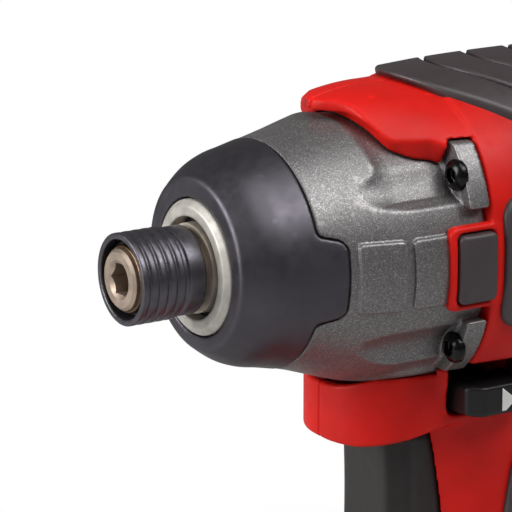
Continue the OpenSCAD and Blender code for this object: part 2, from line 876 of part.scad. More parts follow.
module motor_end_cap() {
    color([0.2, 0.2, 0.22]) difference() {
        tube(cap_rear_x, can_rear_x, motor_d / 2);
        tube(cap_rear_x + 2, can_rear_x + cut, motor_d / 2 - 3);
        tube(-far, far, shaft_d / 2 + run_gap);
        for (a = [45 : 90 : 315])
            on_axis(cap_rear_x - cut) rotate(a) translate([12, 0, 0]) cylinder(h = 4, d = 7);
    }
}

// Two carbon blocks, each in its guide on the end cap.
module brushes() {
    color([0.16, 0.15, 0.15]) for (a = [0, 180]) on_axis(0) rotate(a)
        translate([comm_d / 2 + 0.1, -brush_w / 2, cap_rear_x + 2])
            cube([brush_len, brush_w, can_rear_x + 4 - cap_rear_x]);
}

module rotor_shaft() {
    color("silver") {
        revolved([
            [0, cap_rear_x - 1.5],
            [shaft_d / 2, cap_rear_x - 1.5],
            [shaft_d / 2, gear_rear_x - 2],
            [stub_d / 2, gear_rear_x - 2],
            [stub_d / 2, gear_rear_x + gear_w],
            [0, gear_rear_x + gear_w]
        ]);
    }
}

module rotor_core() {
    color("gray") on_axis(core_rear_x) difference() {
        cylinder(h = core_len, d = armature_d);
        for (a = [0 : 60 : 300]) rotate(a) translate([armature_d / 2 - 3.4, -1, -cut])
            cube([6, 2, core_len + 2 * cut]);
        translate([0, 0, -cut]) cylinder(h = far, d = shaft_d + 2 * run_gap);
    }
}

module rotor_winding() {
    color("peru") {
        tube(core_front_x + 0.05, core_front_x + 3.2, armature_d / 2 - 2, shaft_d / 2 + run_gap);
        tube(comm_front_x + 0.3, core_rear_x - 0.05, armature_d / 2 - 2, shaft_d / 2 + run_gap);
    }
}

module commutator() {
    color("chocolate") tube(comm_front_x - comm_len, comm_front_x, comm_d / 2, shaft_d / 2 + run_gap);
}

module cooling_fan() {
    color([0.22, 0.22, 0.22]) difference() {
        union() {
            tube(fan_x, fan_x + 1.2, fan_r);
            tube(fan_x, fan_x + 3, 5);
            for (a = [0 : 40 : 320])
                on_axis(fan_x) rotate(a) translate([4, -0.5, 0]) cube([fan_r - 4.4, 1, 3]);
        }
        tube(-far, far, shaft_d / 2 + run_gap);
    }
}

// Housing

// Barrel's outer form, drawn in by an inset, from the rear to the hood's tip.
module barrel_form(inset = 0) {
    loft([
        for (s = barrel_sections(inset)) [
            for (p = super(1, 1, barrel_square))
                [s[0], p[0] * s[1], axis_z + p[1] * (p[1] > 0 ? s[2] : s[3])]
        ]
    ]);
}

// Handle and foot's outer form, drawn in by an inset.
module grip_form(inset = 0) {
    loft([
        for (s = grip_sections(inset)) [
            for (p = super(s[2], s[3], s[4])) [s[1] + p[0], p[1], s[0]]
        ]
    ]);
}

// Plan of the chin from a place along X to its rounded front.
module chin_plan(x0, inset = 0) {
    x1 = chin_x - inset;
    w = chin_w / 2 - inset;
    r = chin_r - inset;
    translate([x0, -w]) square([x1 - r - x0, 2 * w]);
    translate([x0, r - w]) square([x1 - x0, 2 * (w - r)]);
    for (s = [-1, 1]) translate([x1 - r, s * (w - r)]) circle(r);
}

// Side view of the hood, with its wavy lower edge and the notch above the screw ears.
module hood_side() {
    translate([0, far / 2, axis_z]) rotate([90, 0, 0]) linear_extrude(far) polygon([
        [hood_x, hood_z],
        [hood_x - 4.6, hood_z - 0.4],
        [hood_x - 7.6, hood_z - 2],
        [hood_x - 10.6, hood_z - 6.2],
        [case_rear_x + ear_t + 3.6, screw_ring_z + 2],
        [case_rear_x + ear_t + 3.3, ear_top + 0.4],
        [case_rear_x - cut, ear_top + 0.4],
        [case_rear_x - cut, 50],
        [hood_x, 50]
    ]);
}

module window_box(room, x1) {
    translate([case_rear_x - cut, 0, axis_z - window_h / 2 - room])
        cube([x1 + room - case_rear_x + cut, far, window_h + 2 * room]);
}

module housing_outside() {
    intersection() {
        barrel_form();
        union() {
            translate([-far, -far, 0]) cube([far + case_rear_x, 2 * far, 2 * far]);
            hood_side();
            both_sides() window_box(1.5, case_rear_x + window_l);
        }
    }
    grip_form();
    translate([0, 0, chin_z]) linear_extrude(chin_depth - keel_depth - part_gap) chin_plan(selector_x);
}

module housing_inside() {
    intersection() {
        barrel_form(wall);
        translate([-far, -far, 0]) cube([far + plate_back_x, 2 * far, 2 * far]);
    }
    difference() {
        grip_form(wall);
        translate([-far, -far, 0]) cube([2 * far, 2 * far, pocket_top + 2]);
        translate([-far, -far, axis_z - spigot_r - 4]) cube([2 * far, 2 * far, far]);
    }
    translate([0, 0, chin_z + wall]) linear_extrude(chin_depth) chin_plan(selector_x, wall);
}

// Ribs that hold the motor and the switch, and the posts of the housing screws.
module housing_ribs() {
    intersection() {
        barrel_form(1);
        for (x = [can_front_x - 12, can_rear_x + 6]) tube(x - 3, x, barrel_half + 5, motor_d / 2 + part_gap);
    }
    intersection() {
        grip_form(1);
        for (x = [switch_front_x - 4, switch_front_x - switch_l + 2], s = [-1, 1])
            translate([x - 2, s > 0 ? switch_w / 2 + part_gap : -far - switch_w / 2 - part_gap, switch_z + 2])
                cube([2, far, switch_h - 8]);
    }
    intersection() {
        union() {
            grip_form(1);
            barrel_form(1);
            translate([0, 0, chin_z + 1]) linear_extrude(chin_depth - keel_depth - 1.6)
                chin_plan(selector_x, 1);
        }
        for (p = housing_screw_places)
            translate([p[0], far / 2, p[1]]) rotate([90, 0, 0]) cylinder(h = far, r = boss_r);
    }
}

// Pocket in the foot for the battery's rail, with the two flanges that carry it.
module rail_pocket() {
    head = rail_w / 2 + 0.4;
    neck = rail_w / 2 - rail_groove + 0.4;
    translate([rail_rear_x - 0.5, -head, foot_z + flange_t])
        cube([far, 2 * head, pocket_top - foot_z - flange_t]);
    translate([rail_rear_x - 0.5, -neck, foot_z - cut]) cube([far, 2 * neck, flange_t + 2 * cut]);
    for (s = [-1, 1])
        translate([-blade_l / 2 - blade_mid - 0.3, s * blade_y - blade_t / 2 - 0.3, pocket_top - cut])
            cube([blade_l + 0.6, blade_t + 0.6, 4]);
    translate([latch_x - 0.6, -latch_w / 2 - 0.6, pocket_top - cut])
        cube([latch_hook + 1.2, latch_w + 1.2, 2.6]);
}

// Openings through the housing's walls.
module housing_openings() {
    tube(case_rear_x, far, case_bore_r);
    translate([0, 0, keel_z - part_gap]) linear_extrude(keel_depth) chin_plan(case_rear_x, -part_gap);
    tube(plate_back_x - part_gap, case_rear_x + cut, spigot_r + part_gap);
    translate([switch_front_x - 3, -trigger_w / 2 - 0.4, trigger_bottom_z - 0.5])
        cube([far, trigger_w + 0.8, trigger_h + 0.8]);
    translate([selector_x - selector_l / 2 - 0.4, -far / 2, selector_bar_z - 0.4])
        cube([selector_l + 0.8, far, selector_slot_h]);
    translate([-far / 2, -6, axis_z - motor_d / 2 - 7]) cube([far / 2 + plate_back_x, 12, 7.6]);
    translate([lead_x - 2, -6, chin_z]) cube([4, 12, lead_z - chin_z]);
    led_place(run_gap);
    for (i = [-2 : 2]) translate([body_rear_x + 9, -far / 2, axis_z + i * 5 - 1]) cube([14, far, 2]);
    both_sides() {
        ear_blocks(part_gap - seam);
        for (z = [-1, 1]) translate([case_rear_x + ear_t - 16.4, screw_ring_y, axis_z + z * screw_ring_z])
            rotate([0, 90, 0]) cylinder(h = 17, d = case_screw_d + 2 * run_gap);
        difference() {
            window_box(0.2, case_rear_x + window_l - 1.4);
            tube(-far, far, case_bore_r + 0.1);
        }
    }
    for (p = housing_screw_places) translate([p[0], 0, p[1]]) rotate([90, 0, 0]) {
        translate([0, 0, -screw_len + screw_seat - 0.5])
            cylinder(h = screw_len + cut, d = housing_screw_d + 2 * run_gap);
        translate([0, 0, screw_seat]) cylinder(h = far, d = housing_head_d + 0.4);
    }
    rail_pocket();
}

module housing_half(side) {
    intersection() {
        difference() {
            union() {
                difference() {
                    housing_outside();
                    housing_inside();
                }
                housing_ribs();
            }
            housing_openings();
        }
        half(side);
    }
}

module housing_left() {
    color("firebrick") housing_half(1);
}

module housing_right() {
    color("firebrick") housing_half(-1);
}

module housing_screws() {
    color([0.15, 0.15, 0.16]) for (p = housing_screw_places) translate([p[0], 0, p[1]]) rotate([90, 0, 0])
        difference() {
            union() {
                translate([0, 0, screw_seat]) cylinder(h = 2.2, d = housing_head_d);
                translate([0, 0, screw_seat - screw_len]) cylinder(h = screw_len + cut, d = housing_screw_d);
            }
            translate([0, 0, screw_seat + 0.8]) cylinder(h = 3, d = 2.6, $fn = 6);
        }
}

// Rubber on the barrel: the layer between the barrel's form and the same form grown outwards.
module barrel_rubber(thick) {
    difference() {
        barrel_form(-thick);
        barrel_form(-0.05);
    }
}

module top_grip() {
    color([0.22, 0.2, 0.2]) difference() {
        intersection() {
            barrel_rubber(rubber_t);
            translate([0, far / 2, axis_z]) rotate([90, 0, 0]) linear_extrude(far) polygon([
                [grip_tip_x, 30],
                [grip_tip_x, 50],
                [body_rear_x + 2, 50],
                [body_rear_x + 2, 8],
                [body_rear_x + 9, 16],
                [body_rear_x + 22, 25],
                [grip_tip_x - 19, 25.6],
                [grip_tip_x - 11.5, 28.6],
                [grip_tip_x - 4, 32.4]
            ]);
        }
        for (i = [0 : 5]) difference() {
            translate([grip_tip_x - 14 - i * rib_pitch, -far / 2, axis_z]) cube([1.2, far, far]);
            barrel_form(-rubber_t / 2);
        }
    }
}

module side_pad() {
    difference() {
        intersection() {
            barrel_form(-0.8);
            window_box(0, case_rear_x + window_l - 1.5);
        }
        tube(-far, far, case_bore_r + 0.3);
    }
}

module side_pad_left() {
    color([0.1, 0.1, 0.1]) side_pad();
}

module side_pad_right() {
    color([0.1, 0.1, 0.1]) mirror([0, 1, 0]) side_pad();
}

module motor_grip() {
    intersection() {
        barrel_rubber(rubber_t * 0.6);
        translate([-32, 0, axis_z - 14.6]) cube([32 + case_rear_x - 2.6, far, 28.4]);
    }
}

module motor_grip_left() {
    color([0.22, 0.2, 0.2]) motor_grip();
}

module motor_grip_right() {
    color([0.22, 0.2, 0.2]) mirror([0, 1, 0]) motor_grip();
}

// Rubber round the back of the handle, split at the middle plane.
module handle_grip(side) {
    intersection() {
        difference() {
            grip_form(-rubber_t * 0.7);
            grip_form(-0.05);
        }
        translate([-far + grip_x(grip_mid_z) + 3, -far, foot_top_z + 14])
            cube([far, 2 * far, chin_z - foot_top_z - 16]);
        half(side);
    }
}

module handle_grip_left() {
    color([0.22, 0.2, 0.2]) handle_grip(1);
}

module handle_grip_right() {
    color([0.22, 0.2, 0.2]) handle_grip(-1);
}

// Trigger, switch and selector

module trigger() {
    color([0.35, 0.34, 0.34]) {
        difference() {
            intersection() {
                union() {
                    translate([trigger_x - trigger_w / 2, 0, trigger_bottom_z])
                        cylinder(h = trigger_h, d = trigger_w);
                    translate([trigger_back_x, -trigger_w / 2, trigger_bottom_z])
                        cube([trigger_x - trigger_w / 2 - trigger_back_x, trigger_w, trigger_h]);
                }
                translate([trigger_back_x, -far / 2, 0]) cube([far, far, 2 * far]);
            }
            translate([trigger_x + 36, far / 2, trigger_mid_z - 2]) rotate([90, 0, 0])
                cylinder(h = far, r = 39);
        }
        translate([switch_front_x - plunger_len + trigger_travel, 0, trigger_mid_z]) rotate([0, 90, 0])
            cylinder(h = trigger_back_x - switch_front_x + plunger_len - trigger_travel + cut, d = plunger_d);
    }
}

module trigger_switch() {
    color([0.13, 0.13, 0.14]) difference() {
        translate([switch_front_x - switch_l, -switch_w / 2, switch_z]) cube([switch_l, switch_w, switch_h]);
        translate([switch_front_x - plunger_len - 1, 0, trigger_mid_z]) rotate([0, 90, 0])
            cylinder(h = plunger_len + 2, d = plunger_d + 2 * run_gap);
    }
}

module trigger_spring() {
    color("silver") translate([0, 0, trigger_mid_z - axis_z])
        coil(switch_front_x + 0.1, trigger_back_x - switch_front_x - 0.2, plunger_d / 2 + 1.2, 0.8, 3);
}

module direction_selector() {
    color([0.12, 0.12, 0.12]) {
        translate([selector_x - selector_l / 2, -selector_reach + 5, selector_bar_z])
            cube([selector_l, 2 * selector_reach - 10, selector_bar_h]);
        both_sides() translate([selector_x - selector_l / 2, selector_reach - 5.5, selector_bar_z])
            cube([selector_l, 5.5, selector_h]);
    }
}

// A straight wire between two points, with rounded ends.
module wire(a, b) {
    d = b - a;
    translate(a) rotate([0, acos(d[2] / norm(d)), atan2(d[1], d[0])]) cylinder(h = norm(d), r = wire_r);
}

// Supply leads down the handle and motor leads along the barrel's floor.
module switch_leads() {
    color("crimson") for (y = [-4, 4]) {
        wire([grip_x(switch_z) - 6, y, switch_z - 0.4], [-blade_mid, y, pocket_top + block_h + 2.4]);
        wire([lead_x, y, switch_z + switch_h + 0.1], [lead_x, y, lead_z]);
        translate([lead_x, y, lead_z]) sphere(wire_r);
        wire([lead_x, y, lead_z], [can_rear_x - 3, y, lead_z]);
        translate([can_rear_x - 3, y, lead_z]) sphere(wire_r);
        wire([can_rear_x - 3, y, lead_z], [can_rear_x - 3, y, axis_z - motor_d / 2 + 0.1]);
    }
}

module led_place(room = 0) {
    translate([led_x, 0, led_z]) rotate([0, 30, 0]) translate([0, 0, -6])
        cylinder(h = 7 + 4 * room, d = led_d + 2 * room);
}

module led_lens() {
    color("whitesmoke") led_place();
}

module terminal_block() {
    color([0.15, 0.15, 0.15]) difference() {
        translate([-blade_mid - block_l / 2, -16, pocket_top + 2]) cube([block_l, 32, block_h]);
        for (s = [-1, 1]) translate([-blade_l / 2 - blade_mid - 0.1, s * blade_y - blade_t / 2 - 0.1, 0])
            cube([blade_l + 0.2, blade_t + 0.2, pocket_top + block_h]);
    }
}

module terminal_blades() {
    color("gold") for (s = [-1, 1])
        translate([-blade_l / 2 - blade_mid, s * blade_y - blade_t / 2, rail_neck_top + 1])
        cube([blade_l, blade_t, pocket_top + block_h - 0.2 - rail_neck_top - 1]);
}

// Battery

module battery_plan(inset = 0) {
    l = battery_l / 2 - inset;
    w = battery_w / 2 - inset;
    r = battery_r - inset;
    translate([-l, r - w]) square([2 * l, 2 * (w - r)]);
    translate([r - l, -w]) square([2 * (l - r), 2 * w]);
    for (x = [-1, 1], y = [-1, 1]) translate([x * (l - r), y * (w - r)]) circle(r);
}

module battery_screw_places() {
    for (x = [-1, 1], y = [-1, 1])
        translate([x * (battery_l / 2 - 6), y * (battery_w / 2 - 9), 0]) children();
}

module battery_case() {
    color([0.14, 0.14, 0.15]) difference() {
        union() {
            difference() {
                linear_extrude(battery_h - 0.05) battery_plan();
                translate([0, 0, battery_wall]) linear_extrude(battery_h) battery_plan(battery_wall);
            }
            intersection() {
                translate([0, 0, battery_h - 9]) linear_extrude(8.95) battery_plan(1);
                battery_screw_places() cylinder(h = battery_h, r = 4);
            }
            intersection() {
                translate([0, 0, 1]) linear_extrude(battery_h - 2) battery_plan(1);
                translate([button_in_x - 1.6, -button_w / 2 - 2, button_z - 2])
                    cube([far, button_w + 4, button_h + 4]);
            }
        }
        translate([button_in_x, -button_w / 2 - part_gap, button_z - part_gap])
            cube([far, button_w + 2 * part_gap, button_h + 2 * part_gap]);
        battery_screw_places() translate([0, 0, battery_h - 8.6])
            cylinder(h = far, d = housing_screw_d + 2 * run_gap);
    }
}

module battery_lid() {
    neck = rail_w / 2 - rail_groove;
    color([0.2, 0.2, 0.21]) difference() {
        union() {
            translate([0, 0, lid_z]) linear_extrude(lid_t) battery_plan();
            translate([rail_rear_x, -neck, lid_z]) cube([rail_l, 2 * neck, rail_neck_top - lid_z + cut]);
            translate([rail_rear_x, -rail_w / 2, rail_neck_top])
                cube([rail_l, rail_w, rail_top - rail_neck_top]);
        }
        for (s = [-1, 1]) translate([rail_rear_x - cut, s * blade_y - 1.6, lid_z - cut])
            cube([blade_l / 2 - blade_mid - rail_rear_x + 1.6, 3.2, far]);
        translate([latch_x - latch_l - 0.3, -latch_w / 2 - 0.3, rail_top - 2.4])
            cube([latch_l + latch_hook + 1.6, latch_w + 0.6, far]);
        battery_screw_places() {
            cylinder(h = far, d = housing_screw_d + 2 * run_gap);
            translate([0, 0, rail_z - 1.5]) cylinder(h = far, d = housing_head_d + 0.3);
        }
        translate([rail_rear_x + 6, -8, lid_z - cut]) cube([rail_l - 30, 16, rail_top - lid_z - 1]);
    }
}

module battery_cells() {
    color("royalblue") for (i = [0 : cells - 1])
        translate([cells_x + (i - (cells - 1) / 2) * cell_pitch, cell_len / 2, cell_z]) rotate([90, 0, 0])
            cylinder(h = cell_len, d = cell_d);
}

module battery_board() {
    color("seagreen") translate([cells_x - 41, -27, board_z]) cube([78, 54, board_t]);
}

// Two spring clips per blade, standing on the board.
module battery_contacts() {
    color("gold") for (s = [-1, 1], t = [-1, 1])
        translate([-blade_mid - 6, s * blade_y + t * (blade_t / 2 + 0.45) - 0.25, board_z + board_t])
            cube([12, 0.5, rail_top - 1 - board_z - board_t]);
}

module battery_latch() {
    color("silver") {
        translate([latch_x - latch_l, -latch_w / 2, rail_top - 2.4]) cube([latch_l + latch_hook, latch_w, 1]);
        translate([latch_x, -latch_w / 2, rail_top - 2]) cube([latch_hook, latch_w, 3.4]);
    }
}

module battery_button() {
    color("firebrick") difference() {
        translate([button_in_x + button_travel + 0.6, -button_w / 2, button_z])
            cube([battery_l / 2 + 0.8 - button_in_x - button_travel - 0.6, button_w, button_h]);
        for (i = [-1 : 1])
            translate([battery_l / 2 + 0.3, -button_w / 2 + 3, button_z + button_h / 2 + i * 3 - 0.5])
            cube([far, button_w - 6, 1]);
    }
}

module battery_screws() {
    color([0.15, 0.15, 0.16]) battery_screw_places() difference() {
        union() {
            translate([0, 0, rail_z - 1.4]) cylinder(h = 1.3, d = housing_head_d);
            translate([0, 0, battery_h - 8]) cylinder(h = lid_t + 7, d = housing_screw_d);
        }
        translate([0, 0, rail_z - 0.8]) cylinder(h = 3, d = 2.4, $fn = 6);
    }
}

housing_left();
housing_right();
gear_case();
nose_boot();
nose_ring();
front_bushing();
thrust_washer();
ring_gear();
gearbox_plate();
carrier_bearing();
motor_can();
motor_magnets();
motor_end_cap();
brushes();
case_screws();
housing_screws();
top_grip();
side_pad_left();
side_pad_right();
motor_grip_left();
motor_grip_right();
handle_grip_left();
handle_grip_right();
trigger_switch();
switch_leads();
led_lens();
terminal_block();
terminal_blades();
planet_carrier();
planet_pins();
cam_balls();
hammer_spring();
planet_gear_1();
planet_gear_2();
planet_gear_3();
hammer();
anvil();
bit_balls();
chuck_spring();
chuck_retainer();
collar_washer();
chuck_sleeve();
rotor_shaft();
rotor_core();
rotor_winding();
commutator();
cooling_fan();
motor_pinion();
trigger();
trigger_spring();
direction_selector();
battery_case();
battery_lid();
battery_cells();
battery_board();
battery_contacts();
battery_latch();
battery_button();
battery_screws();
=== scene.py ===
"""Looks of the cordless impact driver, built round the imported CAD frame.

Modelling sizes are in millimetres. The floor, the lamps' sizes and the camera's clip start are in metres.
"""

import json
import math

import bpy
import numpy as np
from mathutils import Matrix, Vector

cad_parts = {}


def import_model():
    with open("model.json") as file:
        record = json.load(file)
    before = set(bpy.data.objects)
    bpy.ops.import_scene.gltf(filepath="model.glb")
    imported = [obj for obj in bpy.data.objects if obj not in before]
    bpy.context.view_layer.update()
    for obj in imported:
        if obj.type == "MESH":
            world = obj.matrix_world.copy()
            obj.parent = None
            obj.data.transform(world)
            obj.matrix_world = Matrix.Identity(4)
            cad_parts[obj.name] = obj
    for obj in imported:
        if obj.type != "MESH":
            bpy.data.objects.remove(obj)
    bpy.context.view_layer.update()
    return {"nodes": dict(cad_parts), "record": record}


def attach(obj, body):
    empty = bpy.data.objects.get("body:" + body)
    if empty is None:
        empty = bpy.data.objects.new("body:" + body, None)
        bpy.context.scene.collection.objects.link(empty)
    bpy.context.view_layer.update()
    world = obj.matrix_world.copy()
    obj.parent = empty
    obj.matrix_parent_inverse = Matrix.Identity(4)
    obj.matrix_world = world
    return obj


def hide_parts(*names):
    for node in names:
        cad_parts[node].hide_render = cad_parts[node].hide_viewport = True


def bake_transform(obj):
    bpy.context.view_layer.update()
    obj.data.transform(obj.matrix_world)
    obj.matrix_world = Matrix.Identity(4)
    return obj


MM = 0.001
SIDES = ((1, "left"), (-1, "right"))

# Places shared with the CAD model
AXIS_Z = 182.0
RIM_X = 90.0
REAR_X = -69.9
CASE_REAR_X = 21.0
CASE_R = 29.0
JOINT_X = 58.0
BOOT_FACE_X = 73.2
RING_FACE_X = 74.2
CHIN_Z = 140.4
FOOT_Z = 35.0
FOOT_TOP_Z = 57.0
SCREW_Y = 24.5
SCREW_Z = 18.2
TRIGGER_TOP_Z = 142.4
TRIGGER_BOTTOM_Z = 108.5
PLUNGER_Z = 125.0
SELECTOR_X = 13.2
SELECTOR_LOW_Z = 147.0
SELECTOR_HIGH_Z = 153.5

# Mesh steps
COARSE = 0.8
MIDDLE = 0.55
FINE = 0.5
RIBBED = 0.45
CLOSE = 0.4
TURNED = 0.3
SMALL = 0.2
MARK = 0.15


# Distance fields: negative inside, in millimetres

def curve(points):
    """A smooth function through (place, value) points, flat beyond its ends."""
    xs, ys = np.array(points, float).T
    slopes = np.gradient(ys, xs)

    def value(t):
        t = np.clip(t, xs[0], xs[-1])
        i = np.clip(np.searchsorted(xs, t) - 1, 0, len(xs) - 2)
        h = xs[i + 1] - xs[i]
        s = (t - xs[i]) / h
        a = ys[i] * (1 + 2 * s) * (1 - s) ** 2 + slopes[i] * h * s * (1 - s) ** 2
        b = ys[i + 1] * s * s * (3 - 2 * s) + slopes[i + 1] * h * s * s * (s - 1)
        return a + b

    return value


def corner(u, v):
    """Distance from the quarter plane where u and v are both negative."""
    return np.hypot(np.maximum(u, 0), np.maximum(v, 0)) + np.minimum(np.maximum(u, v), 0)


def both(a, b, r=0.0):
    """Where both fields are inside, with the edge rounded to radius r."""
    if r == 0:
        return np.maximum(a, b)
    return corner(a + r, b + r) - r


def either(a, b, k):
    """Where one field or the other is inside, with a fillet of about k."""
    h = np.maximum(k - np.abs(a - b), 0) / k
    return np.minimum(a, b) - h * h * k / 4


def without(a, b, r=0.0):
    """Field a with b cut away, with the edge rounded to radius r."""
    return both(a, -b, r)


def rect(u, v, half_u, half_v, r):
    """A rounded rectangle in the plane of u and v."""
    return corner(np.abs(u) - half_u + r, np.abs(v) - half_v + r) - r


def oval(u, v, half_u, half_v, power):
    """An ellipse in the plane of u and v, squarer with a power above 2."""
    return ((np.abs(u) / half_u) ** power + (np.abs(v) / half_v) ** power) ** (1 / power) * half_u - half_u


def span(t, low, high):
    """A slab between two places."""
    return np.maximum(low - t, t - high)


def block(x, y, z, low, high, plan_r, edge_r):
    """A block with upright corners of plan_r and rounded top and bottom edges."""
    mid = [(a + b) / 2 for a, b in zip(low, high)]
    half = [(b - a) / 2 for a, b in zip(low, high)]
    plan = rect(x - mid[0], y - mid[1], half[0], half[1], plan_r)
    return both(plan, np.abs(z - mid[2]) - half[2], edge_r)


# Outer forms of the red housing

BARREL_HALF = curve([
    (-70, 26.4), (-60, 27.4), (-45, 29.6), (-20, 30.8), (10, 31.0), (26, 31.0), (37, 31.0), (47, 30.4),
])
BARREL_TOP = curve([
    (-70, 29.3), (-60, 30.2), (-45, 32.4), (-20, 33.7), (10, 33.9), (26, 33.6), (32, 33.8), (37, 33.6),
    (42, 32.9), (47, 31.6),
])
BARREL_LOW = curve([(-70, 26.4), (-60, 27.4), (-45, 29.6), (-20, 30.8), (26, 31.0), (47, 30.4)])
BARREL_POWER = curve([(-70, 2.3), (-20, 2.4), (10, 2.4), (30, 2.2), (40, 2.05), (47, 2.0)])
BARREL_REAR_R = 13.0
BARREL_FRONT_GAP = 0.25


def barrel(x, y, z):
    """The barrel's section, running on forward as the hood's."""
    up = z - AXIS_Z
    height = np.where(up > 0, BARREL_TOP(x), BARREL_LOW(x))
    return oval(y, up, BARREL_HALF(x), height, BARREL_POWER(x))


def closed_barrel(x, y, z):
    """The barrel with its rounded rear end."""
    return both(barrel(x, y, z), REAR_X - x, r=BARREL_REAR_R)


GRIP_X = curve([(50, -3.0), (75, -0.2), (99, 1.5), (130, 3.6), (150, 4.5), (170, 4.5)])
GRIP_DEEP = curve([
    (50, 27.0), (66, 24.0), (75, 20.8), (99, 19.6), (118, 19.6), (130, 20.2), (142, 21.6), (152, 25.4),
    (164, 29.0),
])
GRIP_WIDE = curve([
    (50, 21.0), (66, 18.8), (75, 16.9), (99, 16.4), (130, 16.8), (142, 18.4), (152, 20.4), (164, 22.4),
])
GRIP_POWER = 2.45
GRIP_ENDS_Z = (40.0, 164.0)


def grip(x, y, z):
    """The handle's section at each height."""
    return oval(y, x - GRIP_X(z), GRIP_WIDE(z), GRIP_DEEP(z), GRIP_POWER)


FOOT_HALF_X, FOOT_HALF_Y = 45.0, 33.0
FOOT_CORNER_R = 12.0
FOOT_EDGE_R = 5.0
FOOT_END_X = 40.5
FOOT_END_DROP = 3
FOOT_END_R = 4.0
FOOT_END_NORMAL = (0.9, 0.42)


def foot(x, y, z):
    """The foot over the battery, with sloped ends."""
    out, up = FOOT_END_NORMAL
    ends = up * (z - FOOT_TOP_Z + FOOT_END_DROP) + out * (np.abs(x) - FOOT_END_X)
    form = both(rect(x, y, FOOT_HALF_X, FOOT_HALF_Y, FOOT_CORNER_R), ends, r=FOOT_END_R)
    return both(form, span(z, FOOT_Z, FOOT_TOP_Z), r=FOOT_EDGE_R)


CHIN_HALF_X, CHIN_HALF_Y = 21.5, 16.5
CHIN_CORNER_R = 15.0
CHIN_FLAT_X = 40
CHIN_RISE = 0.17
CHIN_TOP_DROP = 22


def chin_plan(x, y, grow=0.0):
    """Outline of the chin from below."""
    return rect(x - CHIN_HALF_X, y, CHIN_HALF_X + grow, CHIN_HALF_Y + grow, CHIN_CORNER_R + grow)


def chin(x, y, z):
    """The chin under the gear case, whose underside rises to the rear."""
    under = CHIN_Z + CHIN_RISE * np.maximum(CHIN_FLAT_X - x, 0) - z
    return both(chin_plan(x, y), np.maximum(under, z - AXIS_Z + CHIN_TOP_DROP), r=0.9)


HOOD_REAR_X = 15
HOOD_X = 40.2
HOOD_BEAK = 5.3
HOOD_BEAK_HALF = 6.0
HOOD_HALF = curve([(20, 35.0), (26, 32.2), (30, 29.4), (34, 27.0), (38, 24.9), (42, 23.6), (46, 23.0)])
HOOD_CREASE = curve([
    (18, 20.0), (24, 22.4), (26.2, 23.55), (27.8, 24.35), (29, 24.9), (31.2, 25.0), (34.2, 25.05),
    (36.4, 25.1), (37.4, 25.5), (38.4, 26.6), (39.5, 28.0), (40.6, 29.0), (43, 29.3), (46.6, 29.2),
])
HOOD_SLOPE = curve([
    (20, 0.7), (26.3, 0.89), (30.3, 1.34), (33.9, 1.49), (35.6, 1.29), (36.9, 1.06), (37.5, 0.7), (38.3, 0.1),
    (39.2, 0.0), (47, 0.0),
])
# Factors that bring the steepness of a field back to about 1
HOOD_EDGE_SCALE = 0.65
HOOD_FRONT_SCALE = 0.8


def hood(x, y, z):
    """The cap over the gear case, with a crease along its wavy edge and a bevel from there in to the case."""
    half, up = HOOD_HALF(x), z - AXIS_Z
    narrow = (np.hypot(y / half, up / BARREL_TOP(x)) - 1) * half
    skin = both(barrel(x, y, z), narrow, r=1.0)
    edge = (HOOD_CREASE(x) + HOOD_SLOPE(x) * skin - up) * HOOD_EDGE_SCALE
    front = (x - HOOD_X - HOOD_BEAK * np.exp(-(y / HOOD_BEAK_HALF) ** 2)) * HOOD_FRONT_SCALE
    return both(both(skin, np.maximum(HOOD_REAR_X - x, front), r=0.7), edge, r=0.4)


NOTCH_X = 19.8
NOTCH_HALF = 6.6
NOTCH_R = 1.2
NOTCH_Y = 17.0


def ear_notch(x, y, z, room=0.0):
    """Space that the gear case's screw ears take, on both sides, above and below."""
    half = NOTCH_HALF + room
    outline = rect(x - NOTCH_X, np.abs(z - AXIS_Z) - SCREW_Z, half, half, NOTCH_R)
    return both(outline, NOTCH_Y - room - np.abs(y))


WINDOW_X = 22.3
WINDOW_HALF_X, WINDOW_HALF_Z = 8.9, 8.8
WINDOW_R = 1.8
PAD_X = 24.9
PAD_HALF_X, PAD_HALF_Z = 4.4, 7.2
PAD_R = 1.2


def window(x, z):
    """Outline of the frame on the flank that holds the pad."""
    return rect(x - WINDOW_X, z - AXIS_Z, WINDOW_HALF_X, WINDOW_HALF_Z, WINDOW_R)


def pad_plan(x, z, grow=0.0):
    """Outline of the pad that the frame holds."""
    return rect(x - PAD_X, z - AXIS_Z, PAD_HALF_X + grow, PAD_HALF_Z + grow, PAD_R + grow)


def body_outside(x, y, z):
    """The whole red form before it is cut."""
    form = both(closed_barrel(x, y, z), x - CASE_REAR_X + BARREL_FRONT_GAP, r=0.5)
    form = either(form, both(grip(x, y, z), span(z, *GRIP_ENDS_Z), r=2.0), k=9.0)
    form = either(form, foot(x, y, z), k=13.0)
    form = either(form, chin(x, y, z), k=1.5)
    cap = without(hood(x, y, z), ear_notch(x, y, z), r=0.4)
    pad_frame = both(barrel(x, y, z), window(x, z), r=0.5)
    return either(form, either(cap, pad_frame, k=0.4), k=0.4)


# Openings and halves of the red housing

CASE_GAP = 0.35
CASE_SEAT = 0.2
KEEL_DROP = 26.0
NOTCH_GAP = 0.1
PAD_GAP = 0.3
PAD_BED = 0.5
MOTOR_ROOM_R = 27.0
MOTOR_ROOM_X = (-45.0, CASE_REAR_X + 0.5)
TRIGGER_ROOM = ((9, -10.9, 108), (37, 10.9, 142.9))
RAIL_ROOM = ((-40, -23.5, 38), (80, 23.5, 47.6))
RAIL_MOUTH = ((-40, -19.4, 30), (80, 19.4, 39))


